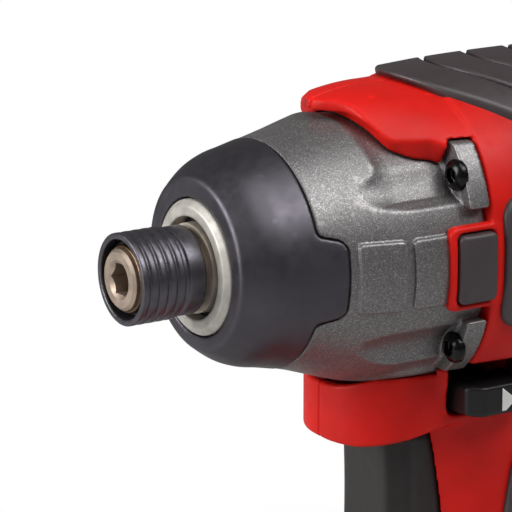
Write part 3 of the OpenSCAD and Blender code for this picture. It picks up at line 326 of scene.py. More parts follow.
def case_space(x, y, z):
    """What the gear case takes out of the housing."""
    up = z - AXIS_Z
    ahead = CASE_REAR_X - CASE_SEAT - x
    tube = both(np.hypot(y, up) - CASE_R - CASE_GAP, ahead)
    tube = without(tube, shelves(x, y, up) + CASE_GAP)
    keel = both(chin_plan(x, y, CASE_GAP), span(z, AXIS_Z - (KEEL_DROP + CASE_GAP), AXIS_Z))
    return np.minimum(tube, both(keel, ahead))


SLOT_MID_Z = 152.5
SLOT_BACK = 0.2
SLOT_LEAN = 0.17
SLOT_HALF_X, SLOT_HALF_Z = 9.6, 6.7
SLOT_R = 1.4
SLOT_Y = 12.0


def selector_hole(x, z):
    """The slanted opening that the selector slides in."""
    up = z - SLOT_MID_Z
    return rect(x - SELECTOR_X + SLOT_BACK - SLOT_LEAN * up, up, SLOT_HALF_X, SLOT_HALF_Z, SLOT_R)


VENT_X = -54
VENT_PITCH = 5
VENT_HALF_X, VENT_HALF_Z = 7.5, 1.1
VENT_R = 1.0
VENT_Y = 15
VENT_ROWS = range(-2, 3)


def vent(x, y, z, row):
    """An air slot through each flank, in rows counted from the axis up."""
    outline = rect(x - VENT_X, z - AXIS_Z - VENT_PITCH * row, VENT_HALF_X, VENT_HALF_Z, VENT_R)
    return both(outline, VENT_Y - np.abs(y))


LENS_X, LENS_Z = 30, 60
LENS_TILT = math.radians(30)
LENS_R = 3.3
LENS_LOW_Z = 54.0


def lens_hole(x, y, z):
    """Bore for the work light in the foot, aimed up and forward."""
    across = (x - LENS_X) * math.cos(LENS_TILT) - (z - LENS_Z) * math.sin(LENS_TILT)
    return both(np.hypot(across, y) - LENS_R, LENS_LOW_Z - z)


def body_cuts(x, y, z):
    """Every opening through the red form."""
    radius = np.hypot(y, z - AXIS_Z)
    cuts = case_space(x, y, z)
    cuts = np.minimum(cuts, both(radius - MOTOR_ROOM_R, span(x, *MOTOR_ROOM_X)))
    cuts = np.minimum(cuts, both(ear_notch(x, y, z, NOTCH_GAP), CASE_REAR_X - NOTCH_GAP - x))
    cuts = np.minimum(cuts, block(x, y, z, *TRIGGER_ROOM, plan_r=0.5, edge_r=0.5))
    cuts = np.minimum(cuts, both(selector_hole(x, z), SLOT_Y - np.abs(y)))
    cuts = np.minimum(cuts, both(pad_plan(x, z, PAD_GAP), CASE_R + PAD_BED - radius))
    for row in VENT_ROWS:
        cuts = np.minimum(cuts, vent(x, y, z, row))
    for room in (RAIL_ROOM, RAIL_MOUTH):
        cuts = np.minimum(cuts, block(x, y, z, *room, plan_r=0, edge_r=0.3))
    return np.minimum(cuts, lens_hole(x, y, z))


WALL = 2.6
SEAM_GAP = 0.04
SEAM_R = 0.25
TIGHT_SEAM_GAP = 0.01
TIGHT_SEAM_Z = AXIS_Z + 20
WELL_R = 3.0
WELL_Y = -9.0
SCREW_WELLS = [
    (-62.6, 195.0), (-62.6, 169.0), (36.6, 147.6), (9.0, 104.0), (9.0, 74.0), (35.0, 51.6), (-35.0, 51.6),
]


def housing(side):
    """One half of the red housing, whose seam has rounded edges, and sharp ones only on top."""
    def field(x, y, z):
        outside = body_outside(x, y, z)
        shell = without(without(outside, outside + WALL), body_cuts(x, y, z), r=0.5)
        if side < 0:
            for well_x, well_z in SCREW_WELLS:
                well = both(np.hypot(x - well_x, z - well_z) - WELL_R, y - WELL_Y)
                shell = without(shell, well, r=0.4)
        tight = both(shell, TIGHT_SEAM_GAP - side * y)
        return np.where(z > TIGHT_SEAM_Z, tight, both(shell, SEAM_GAP - side * y, r=SEAM_R))

    return field


# Rubber on the housing

RUBBER_BED = 1.0
RUBBER_Y = 5
TOP_EDGE = curve([
    (-70, 4.0), (-66, 9.0), (-58, 18.0), (-46, 24.0), (-20, 25.6), (9, 25.6), (13.7, 26.4), (17, 28.2),
    (20.5, 30.2), (23, 32.4), (25, 33.5), (28.5, 34.4),
])
TOP_PROUD = 1.35
TOP_FRONT_X = 26.4
TOP_FRONT_BOW = 0.034
TOP_SCALE = 0.85
TOP_END_CLIP = 0.4
TOP_GROOVES = [14.0 - 11.0 * i for i in range(6)]
TOP_GROOVE_BOW = 0.03
TOP_GROOVE_SCALE = 0.9
TOP_GROOVE_HALF = 0.55
TOP_GROOVE_FLOOR = 0.15


def top_grip(x, y, z):
    """Ribbed rubber over the top of the barrel."""
    up = z - AXIS_Z
    skin = closed_barrel(x, y, z)
    front = (x - TOP_FRONT_X + TOP_FRONT_BOW * y * y) * TOP_SCALE
    outline = both((TOP_EDGE(x) - up) * TOP_SCALE, front, r=1.5)
    rubber = both(skin - TOP_PROUD, outline, r=0.9)
    for groove_x in TOP_GROOVES:
        line = np.abs(x - groove_x + TOP_GROOVE_BOW * y * y)
        groove = both(line * TOP_GROOVE_SCALE - TOP_GROOVE_HALF, TOP_GROOVE_FLOOR - skin, r=0.2)
        rubber = without(rubber, groove, r=0.45)
    return both(without(rubber, skin + RUBBER_BED), REAR_X + TOP_END_CLIP - x)


FLANK_X = -6.8
FLANK_DROP = 0.4
FLANK_HALF_X, FLANK_HALF_Z = 25.2, 14.2
FLANK_R = 5.0
FLANK_PROUD = 1.2
FLANK_GROOVES = 5
FLANK_GROOVE_X = -4
FLANK_GROOVE_PITCH = 6.4
FLANK_GROOVE_BOW = 0.02
FLANK_GROOVE_HALF_X, FLANK_GROOVE_HALF_Z = 0.55, 9.5
FLANK_GROOVE_FLOOR = 0.5


def motor_grip(side):
    """Rubber panel on the barrel's flank."""
    def field(x, y, z):
        up = z - AXIS_Z
        skin = barrel(x, y, z)
        outline = rect(x - FLANK_X, up + FLANK_DROP, FLANK_HALF_X, FLANK_HALF_Z, FLANK_R)
        panel = both(skin - FLANK_PROUD, outline, r=0.8)
        for i in range(FLANK_GROOVES):
            along = x - FLANK_GROOVE_X + FLANK_GROOVE_PITCH * i + FLANK_GROOVE_BOW * up ** 2
            groove = rect(along, up, FLANK_GROOVE_HALF_X, FLANK_GROOVE_HALF_Z, r=0.5)
            panel = without(panel, both(groove, FLANK_GROOVE_FLOOR - skin), r=0.3)
        return both(without(panel, skin + RUBBER_BED), RUBBER_Y - side * y)

    return field


HANDLE_PROUD = 1.35
HANDLE_ENDS_Z = (72.0, 139.0)
HANDLE_EDGE = 2.6
HANDLE_WAVE = 2.4
HANDLE_WAVE_Z = 106
HANDLE_WAVE_LENGTH = 13.0
HANDLE_GROOVES = 7
HANDLE_GROOVE_Z = 80
HANDLE_GROOVE_PITCH = 5.2
HANDLE_GROOVE_HALF = 0.5
HANDLE_GROOVE_BACK = 9
HANDLE_GROOVE_FLOOR = 0.6


def handle_grip(side):
    """Rubber round the back of the handle, with a wavy front edge."""
    def field(x, y, z):
        skin = grip(x, y, z)
        ahead = x - GRIP_X(z)
        edge = ahead - HANDLE_EDGE - HANDLE_WAVE * np.cos((z - HANDLE_WAVE_Z) / HANDLE_WAVE_LENGTH)
        outline = both(edge, span(z, *HANDLE_ENDS_Z), r=6.0)
        layer = both(skin - HANDLE_PROUD, outline, r=0.7)
        for i in range(HANDLE_GROOVES):
            line = np.abs(z - HANDLE_GROOVE_Z - HANDLE_GROOVE_PITCH * i) - HANDLE_GROOVE_HALF
            groove = both(line, ahead + HANDLE_GROOVE_BACK, r=0.3)
            layer = without(layer, both(groove, HANDLE_GROOVE_FLOOR - skin), r=0.3)
        return both(without(layer, skin + RUBBER_BED), SEAM_GAP - side * y, r=0.2)

    return field


PAD_PROUD = 1.3
PAD_INSIDE_GAP = 0.65
PAD_SLANT_X, PAD_SLANT_Y = 28.6, 31.6
PAD_SLANT_NORMAL = (0.6, 0.8)


def side_pad(side):
    """Rubber pad in the frame on the flank, with a slanted front."""
    def field(x, y, z):
        along, out = PAD_SLANT_NORMAL
        slant = out * (side * y - PAD_SLANT_Y) + along * (x - PAD_SLANT_X)
        outside = both(both(barrel(x, y, z) - PAD_PROUD, pad_plan(x, z), r=0.7), slant, r=0.3)
        return both(without(outside, np.hypot(y, z - AXIS_Z) - CASE_R - PAD_INSIDE_GAP), RUBBER_Y - side * y)

    return field


# Gear case and nose

CASE_LINE = curve([
    (20, 29.0), (34, 29.0), (38, 28.9), (42, 28.2), (46, 27.15), (50, 25.95), (54, 24.8), (58, 23.8),
    (62, 22.9),
])
NOSE_LIFT = curve([(40, 0.0), (44, 0.08), (50, 0.37), (54, 0.6), (74, 0.6)])
CASE_ENDS_X = (20.9, 59.5)
CASE_SCALE = 0.93
CASE_WALL = 2.6
CASE_HOLLOW_X = 52
HAMMER_ROOM_R = 25.4
KEEL_TOP_DROP = 14
KEEL_REAR_X = 21.2
PANELS_X = ((40.5, 50.2), (29.8, 38.9))
PANEL_HALF_Z = 7.3
PANEL_R = 1.0
PANEL_RISE = 0.9
PANEL_ROOT = 2


def flank_panel(x, z, low, high):
    """Outline of a raised panel between two places along the axis."""
    return rect(x - (low + high) / 2, z - AXIS_Z, (high - low) / 2, PANEL_HALF_Z, PANEL_R)


FLUTE_OUT = 35.2
FLUTE_R = 8.5
FLUTE_REAR_X = 25.8


def flutes(x, y, up):
    """Grooves that lead a driver to the gear case's screws and run out on the cone."""
    out = FLUTE_OUT / math.hypot(SCREW_Y, SCREW_Z)
    across = np.hypot(np.abs(y) - SCREW_Y * out, np.abs(up) - SCREW_Z * out)
    return np.maximum(across - FLUTE_R, FLUTE_REAR_X - x)


SHELF_R = 27.4
SHELF_TURN = 0.56
SHELF_RISE = curve([(39, 0.0), (41, 0.25), (43, 1.0), (44.5, 2.0)])


def shelves(x, y, up):
    """Lowered skin above the flank, from the ears to a soft step in the cone."""
    turn = np.arctan2(np.abs(up), np.abs(y))
    sector = np.where(up > 0, SHELF_TURN - turn, 1.0) * SHELF_R
    return np.maximum(sector, SHELF_R + SHELF_RISE(x) - np.hypot(y, up))


EAR_ENDS_X = (21.2, 25.7)
EAR_HALF_Z = 6.3
EAR_Y = 17.5


def ears(x, y, z):
    """Ears for the gear case's four screws."""
    outline = both(np.abs(np.abs(z - AXIS_Z) - SCREW_Z) - EAR_HALF_Z, EAR_Y - np.abs(y))
    return both(np.maximum(span(x, *EAR_ENDS_X), barrel(x, y, z)), outline, r=0.5)


BOOT_LINE = curve([
    (46, 27.3), (50, 26.1), (54, 24.95), (58, 23.95), (62, 23.05), (66, 22.2), (69, 20.95), (71, 19.6),
    (72.2, 18.65), (73.2, 17.9),
])
BOOT_GAP = 0.32
BOOT_BED = 1.4
BOOT_SCALE = 0.9
BOOT_WALL = 2.2
BOOT_HOLLOW_X = 70.6
BOOT_BORE_R = 14.42
TONGUE_X = 62
TONGUE_HALF_X, TONGUE_HALF_Z = 9.9, 7.7
TONGUE_R = 1.8
TONGUE_Y = 10
TONGUE_FLARE = 0.032
TONGUE_FLARE_X = 52
TONGUE_FLARE_LENGTH = 7


def boot_plan(x, y, up):
    """What the boot covers of the nose: all ahead of the joint, and a tongue on each flank."""
    flare = 1 + TONGUE_FLARE * np.clip(x - TONGUE_FLARE_X, 0, TONGUE_FLARE_LENGTH)
    tongue = rect(x - TONGUE_X, up / flare, TONGUE_HALF_X, TONGUE_HALF_Z, TONGUE_R)
    return either(JOINT_X - x, both(tongue, TONGUE_Y - np.abs(y)), k=1.2)


def gear_case(x, y, z):
    """Cast case with flank panels, screw ears, driver flutes and keel."""
    up = z - AXIS_Z
    line = CASE_LINE(x)
    radius = np.hypot(y, up - NOSE_LIFT(x))
    case = both((radius - line) * CASE_SCALE, span(x, *CASE_ENDS_X), r=0.4)
    keel = np.maximum(span(z, AXIS_Z - KEEL_DROP, AXIS_Z - KEEL_TOP_DROP), KEEL_REAR_X - x)
    case = either(case, both(chin_plan(x, y), keel, r=1.2), k=2.5)
    case = without(case, either(shelves(x, y, up), flutes(x, y, up), k=1.6), r=0.4)
    layer = np.maximum((radius - line - PANEL_RISE) * CASE_SCALE, line - PANEL_ROOT - radius)
    panels = np.minimum.reduce([flank_panel(x, z, *ends) for ends in PANELS_X])
    case = either(case, both(layer, panels, r=0.3), k=0.1)
    case = either(case, ears(x, y, z), k=0.8)
    case = without(case, both(boot_plan(x, y, up) - BOOT_GAP, line - BOOT_BED - radius), r=0.2)
    hollow = both(radius - np.minimum(line - CASE_WALL, HAMMER_ROOM_R), x - CASE_HOLLOW_X)
    return without(case, hollow)


HEAD_X = 23.4
HEAD_DOME_R = 4.5
HEAD_R = 3.3
HEAD_REAR_X = 25.2
SOCKET_HALF = 1.5
SOCKET_FLOOR_X = 26.2
HEX_NORMAL = (0.5, 0.866)


def case_screws(x, y, z):
    """Domed screw heads with their sockets, on both sides, above and below."""
    u, v = np.abs(y) - SCREW_Y, np.abs(z - AXIS_Z) - SCREW_Z
    ball = np.sqrt(u * u + v * v + (x - HEAD_X) ** 2) - HEAD_DOME_R
    dome = both(ball, np.maximum(np.hypot(u, v) - HEAD_R, HEAD_REAR_X - x), r=0.3)
    socket = np.maximum(np.abs(u), np.abs(u) * HEX_NORMAL[0] + np.abs(v) * HEX_NORMAL[1]) - SOCKET_HALF
    return without(dome, both(socket, SOCKET_FLOOR_X - x), r=0.15)


def nose_boot(x, y, z):
    """Rubber boot with a flat front, a sloped shoulder and tapered side tongues."""
    up = z - AXIS_Z
    skin = (np.hypot(y, up - NOSE_LIFT(x)) - BOOT_LINE(x)) * BOOT_SCALE
    form = both(skin, x - BOOT_FACE_X, r=0.6)
    form = both(form, boot_plan(x, y, up), r=0.3)
    form = without(form, both(skin + BOOT_WALL, x - BOOT_HOLLOW_X))
    return without(form, np.hypot(y, up) - BOOT_BORE_R, r=0.2)


RING_R = 14.05
RING_BORE_R = 10.6
RING_REAR_X = 69.0
RING_CHAMFER_R = 12.75
RING_CHAMFER_NORMAL = (0.763, 0.646)


def nose_ring(x, y, z):
    """Steel ring proud of the boot's face, with a wide chamfer."""
    radius = np.hypot(y, z - AXIS_Z)
    along, out = RING_CHAMFER_NORMAL
    chamfer = out * (radius - RING_CHAMFER_R) + along * (x - RING_FACE_X)
    ring = both(both(radius - RING_R, x - RING_FACE_X), chamfer, r=0.15)
    return both(without(ring, radius - RING_BORE_R, r=0.3), RING_REAR_X - x)


# Trigger, selector and battery

TRIGGER_X = 22.0
TRIGGER_HALF_X, TRIGGER_HALF_Y, TRIGGER_HALF_Z = 10.8, 8.6, 16.5
TRIGGER_R = 3.2
TRIGGER_REAR_X = 18.0
ROOT_X = 21.0
ROOT_HALF_X, ROOT_HALF_Y = 4.5, 10.4
ROOT_R = 2.0
FINGER_X = 171.8
FINGER_DROP = 2
FINGER_R = 140
POCKET_R = 5.3
POCKET_X = 24.6
STEM_R = 3.0
STEM_ENDS_X = (5.0, 26.0)


def trigger(x, y, z):
    """Trigger with a slightly hollowed front, a wider root, and a stem in a pocket that takes the spring."""
    up = z - (TRIGGER_TOP_Z + TRIGGER_BOTTOM_Z) / 2
    front = rect(x - TRIGGER_X, y, TRIGGER_HALF_X, TRIGGER_HALF_Y, TRIGGER_R)
    root = rect(x - ROOT_X, y, ROOT_HALF_X, ROOT_HALF_Y, ROOT_R)
    form = both(either(front, root, k=1.0), TRIGGER_REAR_X - x)
    form = both(form, np.abs(up) - TRIGGER_HALF_Z, r=3.0)
    form = without(form, np.hypot(x - FINGER_X, up + FINGER_DROP) - FINGER_R, r=1.5)
    stem = np.hypot(y, z - PLUNGER_Z)
    form = without(form, both(stem - POCKET_R, x - POCKET_X), r=0.3)
    return np.minimum(form, both(stem - STEM_R, span(x, *STEM_ENDS_X), r=0.3))


BAR_LOW = (5.7, -20, SELECTOR_LOW_Z)
BAR_HIGH = (20.7, 20, SELECTOR_LOW_Z + 4.5)
KNOB_HALF_X = 7.5
KNOB_R = 1.0
KNOB_ENDS_Y = (14.0, 24.4)
WEDGE_X = 4.6
WEDGE_NORMAL = (0.67, 0.74)


def selector(x, y, z):
    """Sliding bar with a wedge-shaped knob at each end."""
    bar = block(x, y, z, BAR_LOW, BAR_HIGH, plan_r=0.5, edge_r=0.5)
    tall = (SELECTOR_HIGH_Z - SELECTOR_LOW_Z) / 2
    outline = rect(x - SELECTOR_X, z - SELECTOR_LOW_Z - tall, KNOB_HALF_X, tall, KNOB_R)
    knob = both(outline, span(np.abs(y), *KNOB_ENDS_Y), r=0.7)
    along, out = WEDGE_NORMAL
    wedge = out * (np.abs(y) - KNOB_ENDS_Y[1]) + along * (x - SELECTOR_X - WEDGE_X)
    return np.minimum(bar, both(knob, wedge, r=0.5))


ARROW_BASE = 0.1
ARROW_TIP = 3.5
ARROW_DROP = 0.4
ARROW_NORMAL = (0.64, 0.77)
ARROW_ENDS_Y = (24.1, 24.48)


def arrow(side):
    """White triangle on the selector's knob, pointing to the rear."""
    def field(x, y, z):
        ahead = x - SELECTOR_X
        up = z - (SELECTOR_LOW_Z + SELECTOR_HIGH_Z) / 2
        sides = ARROW_NORMAL[1] * np.abs(up + ARROW_DROP) - ARROW_NORMAL[0] * (ahead + ARROW_TIP)
        return both(np.maximum(ahead - ARROW_BASE, sides), span(side * y, *ARROW_ENDS_Y), r=0.1)

    return field


BATTERY_HALF_X, BATTERY_HALF_Y = 56.0, 36.0
BATTERY_R = 9.0
BATTERY_SEAT_Z = 32
BATTERY_TOP_Z = 31.95
BATTERY_TAPER = 0.03
BAND_ENDS_Z = (9.0, 23.0)
BAND_HALF_X = 40
BAND_Y = 34.9
RIB_NUMBERS = range(-3, 4)
RIB_PITCH = 10
RIB_Z = 16
RIB_HALF_X, RIB_HALF_Z = 1.6, 6.0
RIB_ENDS_Y = (33.0, 35.6)
CAVITY_HALF_X, CAVITY_HALF_Y = 53.6, 33.6
CAVITY_R = 7.0
CAVITY_FLOOR_Z = 2.4
BUTTON_Z = 22.5
BUTTON_HALF_Y, BUTTON_HALF_Z = 13.4, 5.9
BUTTON_X = 47


def battery_case(x, y, z):
    """Battery shell with a sunk, ribbed band on each flank and an opening for the release button."""
    taper = BATTERY_TAPER * (BATTERY_SEAT_Z - z)
    plan = rect(x, y, BATTERY_HALF_X - taper, BATTERY_HALF_Y - taper, BATTERY_R)
    shell = both(plan, span(z, 0.0, BATTERY_TOP_Z), r=1.4)
    band = both(span(z, *BAND_ENDS_Z), both(np.abs(x) - BAND_HALF_X, BAND_Y - np.abs(y)), r=2.0)
    shell = without(shell, band, r=0.6)
    for i in RIB_NUMBERS:
        rib = rect(x - RIB_PITCH * i, z - RIB_Z, RIB_HALF_X, RIB_HALF_Z, r=1.5)
        shell = either(shell, both(rib, span(np.abs(y), *RIB_ENDS_Y), r=0.5), k=0.3)
    shell = without(shell, both(rect(x, y, CAVITY_HALF_X, CAVITY_HALF_Y, CAVITY_R), CAVITY_FLOOR_Z - z))
    opening = rect(y, z - BUTTON_Z, BUTTON_HALF_Y, BUTTON_HALF_Z, r=1.5)
    return without(shell, both(opening, BUTTON_X - x), r=0.4)


# Chuck: places named BACK are measured back from the sleeve's rim

SLEEVE_R = 9.5
SLEEVE_REAR_X = 75.6
SLEEVE_LIP = 0.4
RIDGES_BACK = (0.3, 8.7)
RIDGE_START = 1.35
RIDGE_PITCH = 2.1
RIDGE_DEPTH = 0.42
RIDGE_POWER = 4.0
GROOVE_BACK = 9.9
GROOVE_HALF_X, GROOVE_DEPTH = 0.55, 0.8
COLLAR_BACK = 10.4
COLLAR_STEP = 0.35
LOCK_ENDS_X = (78.2, 80.8)
LOCK_R = 6.36
REAR_BORE_R = 7.6
FRONT_BORE_R = 8.2


def chuck_sleeve(x, y, z):
    """Sleeve with rounded ridges, a deep groove and a plain rear collar."""
    radius = np.hypot(y, z - AXIS_Z)
    back = RIM_X - x
    wave = 0.5 + 0.5 * np.cos(2 * math.pi * (back - RIDGE_START) / RIDGE_PITCH)
    ridged = (back > RIDGES_BACK[0]) & (back < RIDGES_BACK[1])
    line = SLEEVE_R - np.where(ridged, RIDGE_DEPTH * wave ** RIDGE_POWER, 0)
    line = line - np.where(back > COLLAR_BACK, COLLAR_STEP, 0)
    form = both(radius - line, span(x, SLEEVE_REAR_X, RIM_X + SLEEVE_LIP), r=0.3)
    groove = rect(back - GROOVE_BACK, radius - SLEEVE_R, GROOVE_HALF_X, GROOVE_DEPTH, r=0.3)
    form = without(form, groove, r=0.25)
    bore = np.where(x < LOCK_ENDS_X[0], REAR_BORE_R, np.where(x > LOCK_ENDS_X[1], FRONT_BORE_R, LOCK_R))
    return without(form, radius - bore, r=0.25)


SNAP_RING_X = 89.1
SNAP_RING_R = 6.55
SNAP_WIRE_R = 0.5
SNAP_SCALE = 0.9
WASHER_R = 7.75
WASHER_BORE_R = 6.36
WASHER_ENDS_X = (87.85, 88.5)


def snap_ring(x, y, z):
    """Spring ring seated on the spindle's end."""
    return np.hypot(np.hypot(y, z - AXIS_Z) - SNAP_RING_R, (x - SNAP_RING_X) * SNAP_SCALE) - SNAP_WIRE_R


def washer_painted_as_shade(x, y, z):
    """Washer that the snap ring holds in the sleeve, painted black as painted shade behind the snap ring."""
    radius = np.hypot(y, z - AXIS_Z)
    return both(both(radius - WASHER_R, WASHER_BORE_R - radius, r=0.1), span(x, *WASHER_ENDS_X), r=0.15)


# Meshes from fields

CORNERS = np.array([(i, j, k) for i in (0, 1) for j in (0, 1) for k in (0, 1)])
EDGES = [(a, b) for a in range(8) for b in range(a + 1, 8) if np.abs(CORNERS[a] - CORNERS[b]).sum() == 1]
GRID_SHIFT = 0.013
SETTLE_ROUNDS = 3
SETTLE_REACH = 0.3
PROBE_REACH = 0.1
LEAST_SLOPE = 0.2
TINY = 1e-9


def edge_points(values, cells):
    """Mean of the places where the field crosses each cell's edges, from the cell's corner."""
    total = np.zeros((len(cells), 3))
    count = np.zeros(len(cells))
    at_corner = [values[tuple((cells + c).T)] for c in CORNERS]
    for a, b in EDGES:
        va, vb = at_corner[a], at_corner[b]
        cross = (va < 0) != (vb < 0)
        t = np.where(cross, va / np.where(cross, va - vb, 1), 0)
        total += np.where(cross[:, None], CORNERS[a] + t[:, None] * (CORNERS[b] - CORNERS[a]), 0)
        count += cross
    return total / count[:, None]


def net_faces(values, number):
    """Four-sided faces round every grid edge that the surface crosses."""
    inside = values < 0
    faces = []
    for axis in range(3):
        u, v = (axis + 1) % 3, (axis + 2) % 3
        one = [slice(1, -1)] * 3
        two = [slice(1, -1)] * 3
        one[axis], two[axis] = slice(0, -1), slice(1, None)
        cross = inside[tuple(one)] != inside[tuple(two)]
        at = np.argwhere(cross)
        at[:, u] += 1
        at[:, v] += 1
        out = inside[tuple(at.T)]
        du, dv = np.eye(3, dtype=int)[u], np.eye(3, dtype=int)[v]
        around = ((1, 1), (0, 1), (0, 0), (1, 0))
        ring = np.stack([number[tuple((at - a * du - b * dv).T)] for a, b in around], 1)
        ring[~out] = ring[~out][:, ::-1]
        faces.append(ring)
    return np.concatenate(faces)


def settle(field, points, step):
    """Moves points onto the field's surface along its slope, each time by a share of the step at most."""
    probe = step * PROBE_REACH
    for _ in range(SETTLE_ROUNDS):
        x, y, z = points.T
        value = field(x, y, z)
        slope = np.stack([
            field(x + probe, y, z) - field(x - probe, y, z),
            field(x, y + probe, z) - field(x, y - probe, z),
            field(x, y, z + probe) - field(x, y, z - probe),
        ], 1) / (2 * probe)
        move = -value[:, None] * slope / np.maximum((slope ** 2).sum(1), LEAST_SLOPE)[:, None]
        size = np.linalg.norm(move, axis=1, keepdims=True)
        points = points + move * np.minimum(1, SETTLE_REACH * step / np.maximum(size, TINY))
    return points


def mesh_object(name, points, faces):
    """A smooth-shaded mesh object from points in millimetres."""
    mesh = bpy.data.meshes.new(name)
    mesh.vertices.add(len(points))
    mesh.vertices.foreach_set("co", (points * MM).astype(np.float32).ravel())
    mesh.loops.add(faces.size)
    mesh.loops.foreach_set("vertex_index", faces.astype(np.int32).ravel())
    mesh.polygons.add(len(faces))
    mesh.polygons.foreach_set("loop_start", np.arange(len(faces), dtype=np.int32) * faces.shape[1])
    mesh.polygons.foreach_set("use_smooth", np.ones(len(faces), dtype=bool))
    mesh.update(calc_edges=True)
    mesh.validate()
    obj = bpy.data.objects.new(name, mesh)
    bpy.context.scene.collection.objects.link(obj)
    return obj


def field_object(name, field, low, high, step):
    """A mesh of the field's surface within a box."""
    axes = [np.arange(a - 2 * step, b + 3 * step, step) + GRID_SHIFT for a, b in zip(low, high)]
    shape = [len(a) for a in axes]
    grid = np.meshgrid(*axes, indexing="ij", sparse=True)
    values = np.broadcast_to(field(*grid), shape).astype(np.float64)
    inside = values < 0
    count = sum(inside[tuple(slice(c, c - 1 or None) for c in offset)].astype(np.int8) for offset in CORNERS)
    cells = np.argwhere((count > 0) & (count < 8))
    number = np.full(shape, -1, np.int64)
    number[tuple(cells.T)] = np.arange(len(cells))
    points = (cells + edge_points(values, cells)) * step + np.array([a[0] for a in axes])
    return mesh_object(name, settle(field, points, step), net_faces(values, number))


COIL_STEPS = 24
WIRE_SIDES = 10


def coil(low, high, radius, wire, turns):
    """Points and faces of a coil spring about the drive axis, closed at both ends."""
    steps, sides = round(COIL_STEPS * turns), WIRE_SIDES
    along = np.linspace(0, 1, steps + 1)[:, None]
    round_wire = np.linspace(0, 2 * math.pi, sides, endpoint=False)[None, :]
    turn = 2 * math.pi * turns * along
    reach = radius + wire / 2 * np.cos(round_wire)
    x = low + wire / 2 + (high - low - wire) * along + wire / 2 * np.sin(round_wire)
    points = np.stack([x, reach * np.cos(turn), AXIS_Z + reach * np.sin(turn)], -1).reshape(-1, 3)
    at = np.arange(steps)[:, None] * sides
    one, two = at + np.arange(sides), at + (np.arange(sides) + 1) % sides
    tube = np.stack([one, one + sides, two + sides, two], -1).reshape(-1, 4)
    cap = np.array([(0, m, m + 1, m + 2) for m in range(1, sides - 2, 2)])
    return points, np.concatenate([tube, cap, cap[:, ::-1] + steps * sides])


# Materials

NOISE_LOW, NOISE_HIGH = 0.3, 0.7
BLACK, WHITE = (0, 0, 0, 1), (1, 1, 1, 1)


def linear(*rgb):
    """A colour as seen on screen, 0 to 255, as the renderer's linear colour."""
    return [((c / 255 + 0.055) / 1.055) ** 2.4 if c > 10 else c / 255 / 12.92 for c in rgb] + [1.0]


def scaled(colour, factor):
    """A colour made darker or paler."""
    return [min(c * factor, 1.0) for c in colour[:3]] + [1.0]


class Finish:
    """A procedural material with a principled shader. Grain sizes and depths are in millimetres."""

    def __init__(self, name, rough, metallic=0.0, specular=0.5):
        self.material = bpy.data.materials.new(name)
        self.material.use_nodes = True
        self.nodes = self.material.node_tree.nodes
        self.shader = self.nodes["Principled BSDF"]
        self.shader.inputs["Roughness"].default_value = rough
        self.shader.inputs["Metallic"].default_value = metallic
        self.shader.inputs["Specular IOR Level"].default_value = specular
        self.place = self.nodes.new("ShaderNodeTexCoord").outputs["Object"]

    def link(self, a, b):
        self.material.node_tree.links.new(a, b)

    def noise(self, size, detail=3.0, stretch=(1, 1, 1)):
        """Noise whose grain is about size millimetres."""
        mapping = self.nodes.new("ShaderNodeMapping")
        mapping.inputs["Scale"].default_value = stretch
        self.link(self.place, mapping.inputs["Vector"])
        node = self.nodes.new("ShaderNodeTexNoise")
        node.inputs["Scale"].default_value = 1 / (size * MM)
        node.inputs["Detail"].default_value = detail
        self.link(mapping.outputs["Vector"], node.inputs["Vector"])
        return node.outputs["Fac"]

    def flakes(self, size):
        """A random value for each cell of about size millimetres."""
        node = self.nodes.new("ShaderNodeTexVoronoi")
        node.inputs["Scale"].default_value = 1 / (size * MM)
        self.link(self.place, node.inputs["Vector"])
        split = self.nodes.new("ShaderNodeSeparateColor")
        self.link(node.outputs["Color"], split.inputs["Color"])
        return split.outputs["Red"]

    def ramp(self, value, stops):
        """Colours at (place, colour) stops along a value."""
        node = self.nodes.new("ShaderNodeValToRGB")
        self.link(value, node.inputs["Fac"])
        elements = node.color_ramp.elements
        while len(elements) < len(stops):
            elements.new(0.5)
        for element, (place, colour) in zip(elements, stops):
            element.position = place
            element.color = colour
        return node.outputs["Color"]

    def mix(self, factor, a, b):
        """Two colours mixed, each a socket or a value."""
        node = self.nodes.new("ShaderNodeMix")
        node.data_type = "RGBA"
        for socket, value in (("Factor_Float", factor), ("A_Color", a), ("B_Color", b)):
            target = next(i for i in node.inputs if i.identifier == socket)
            if isinstance(value, bpy.types.NodeSocket):
                self.link(value, target)
            else:
                target.default_value = value
        return next(o for o in node.outputs if o.identifier == "Result_Color")

    def spread(self, value, low, high):
        """Noise brought to a range."""
        node = self.nodes.new("ShaderNodeMapRange")
        node.inputs["From Min"].default_value = NOISE_LOW
        node.inputs["From Max"].default_value = NOISE_HIGH
        node.inputs["To Min"].default_value = low
        node.inputs["To Max"].default_value = high
        self.link(value, node.inputs["Value"])
        return node.outputs["Result"]

    def edges(self, low, high):
        """A mask of the form's outer edges, where the colour is painted paler: partly edge wear, partly
        painted highlight.
        """
        geometry = self.nodes.new("ShaderNodeNewGeometry")
        return self.ramp(geometry.outputs["Pointiness"], [(low, BLACK), (high, WHITE)])

    def clouds(self, base, size, dark, pale, detail=3.0):
        """The base colour with soft darker and paler clouds."""
        stops = [(NOISE_LOW, scaled(base, dark)), (NOISE_HIGH, scaled(base, pale))]
        return self.ramp(self.noise(size, detail), stops)

    def bump(self, height, strength, depth):
        node = self.nodes.new("ShaderNodeBump")
        node.inputs["Strength"].default_value = strength
        node.inputs["Distance"].default_value = depth * MM
        self.link(height, node.inputs["Height"])
        self.link(node.outputs["Normal"], self.shader.inputs["Normal"])

    def colour(self, socket):
        self.link(socket, self.shader.inputs["Base Color"])

    def rough(self, socket):
        self.link(socket, self.shader.inputs["Roughness"])


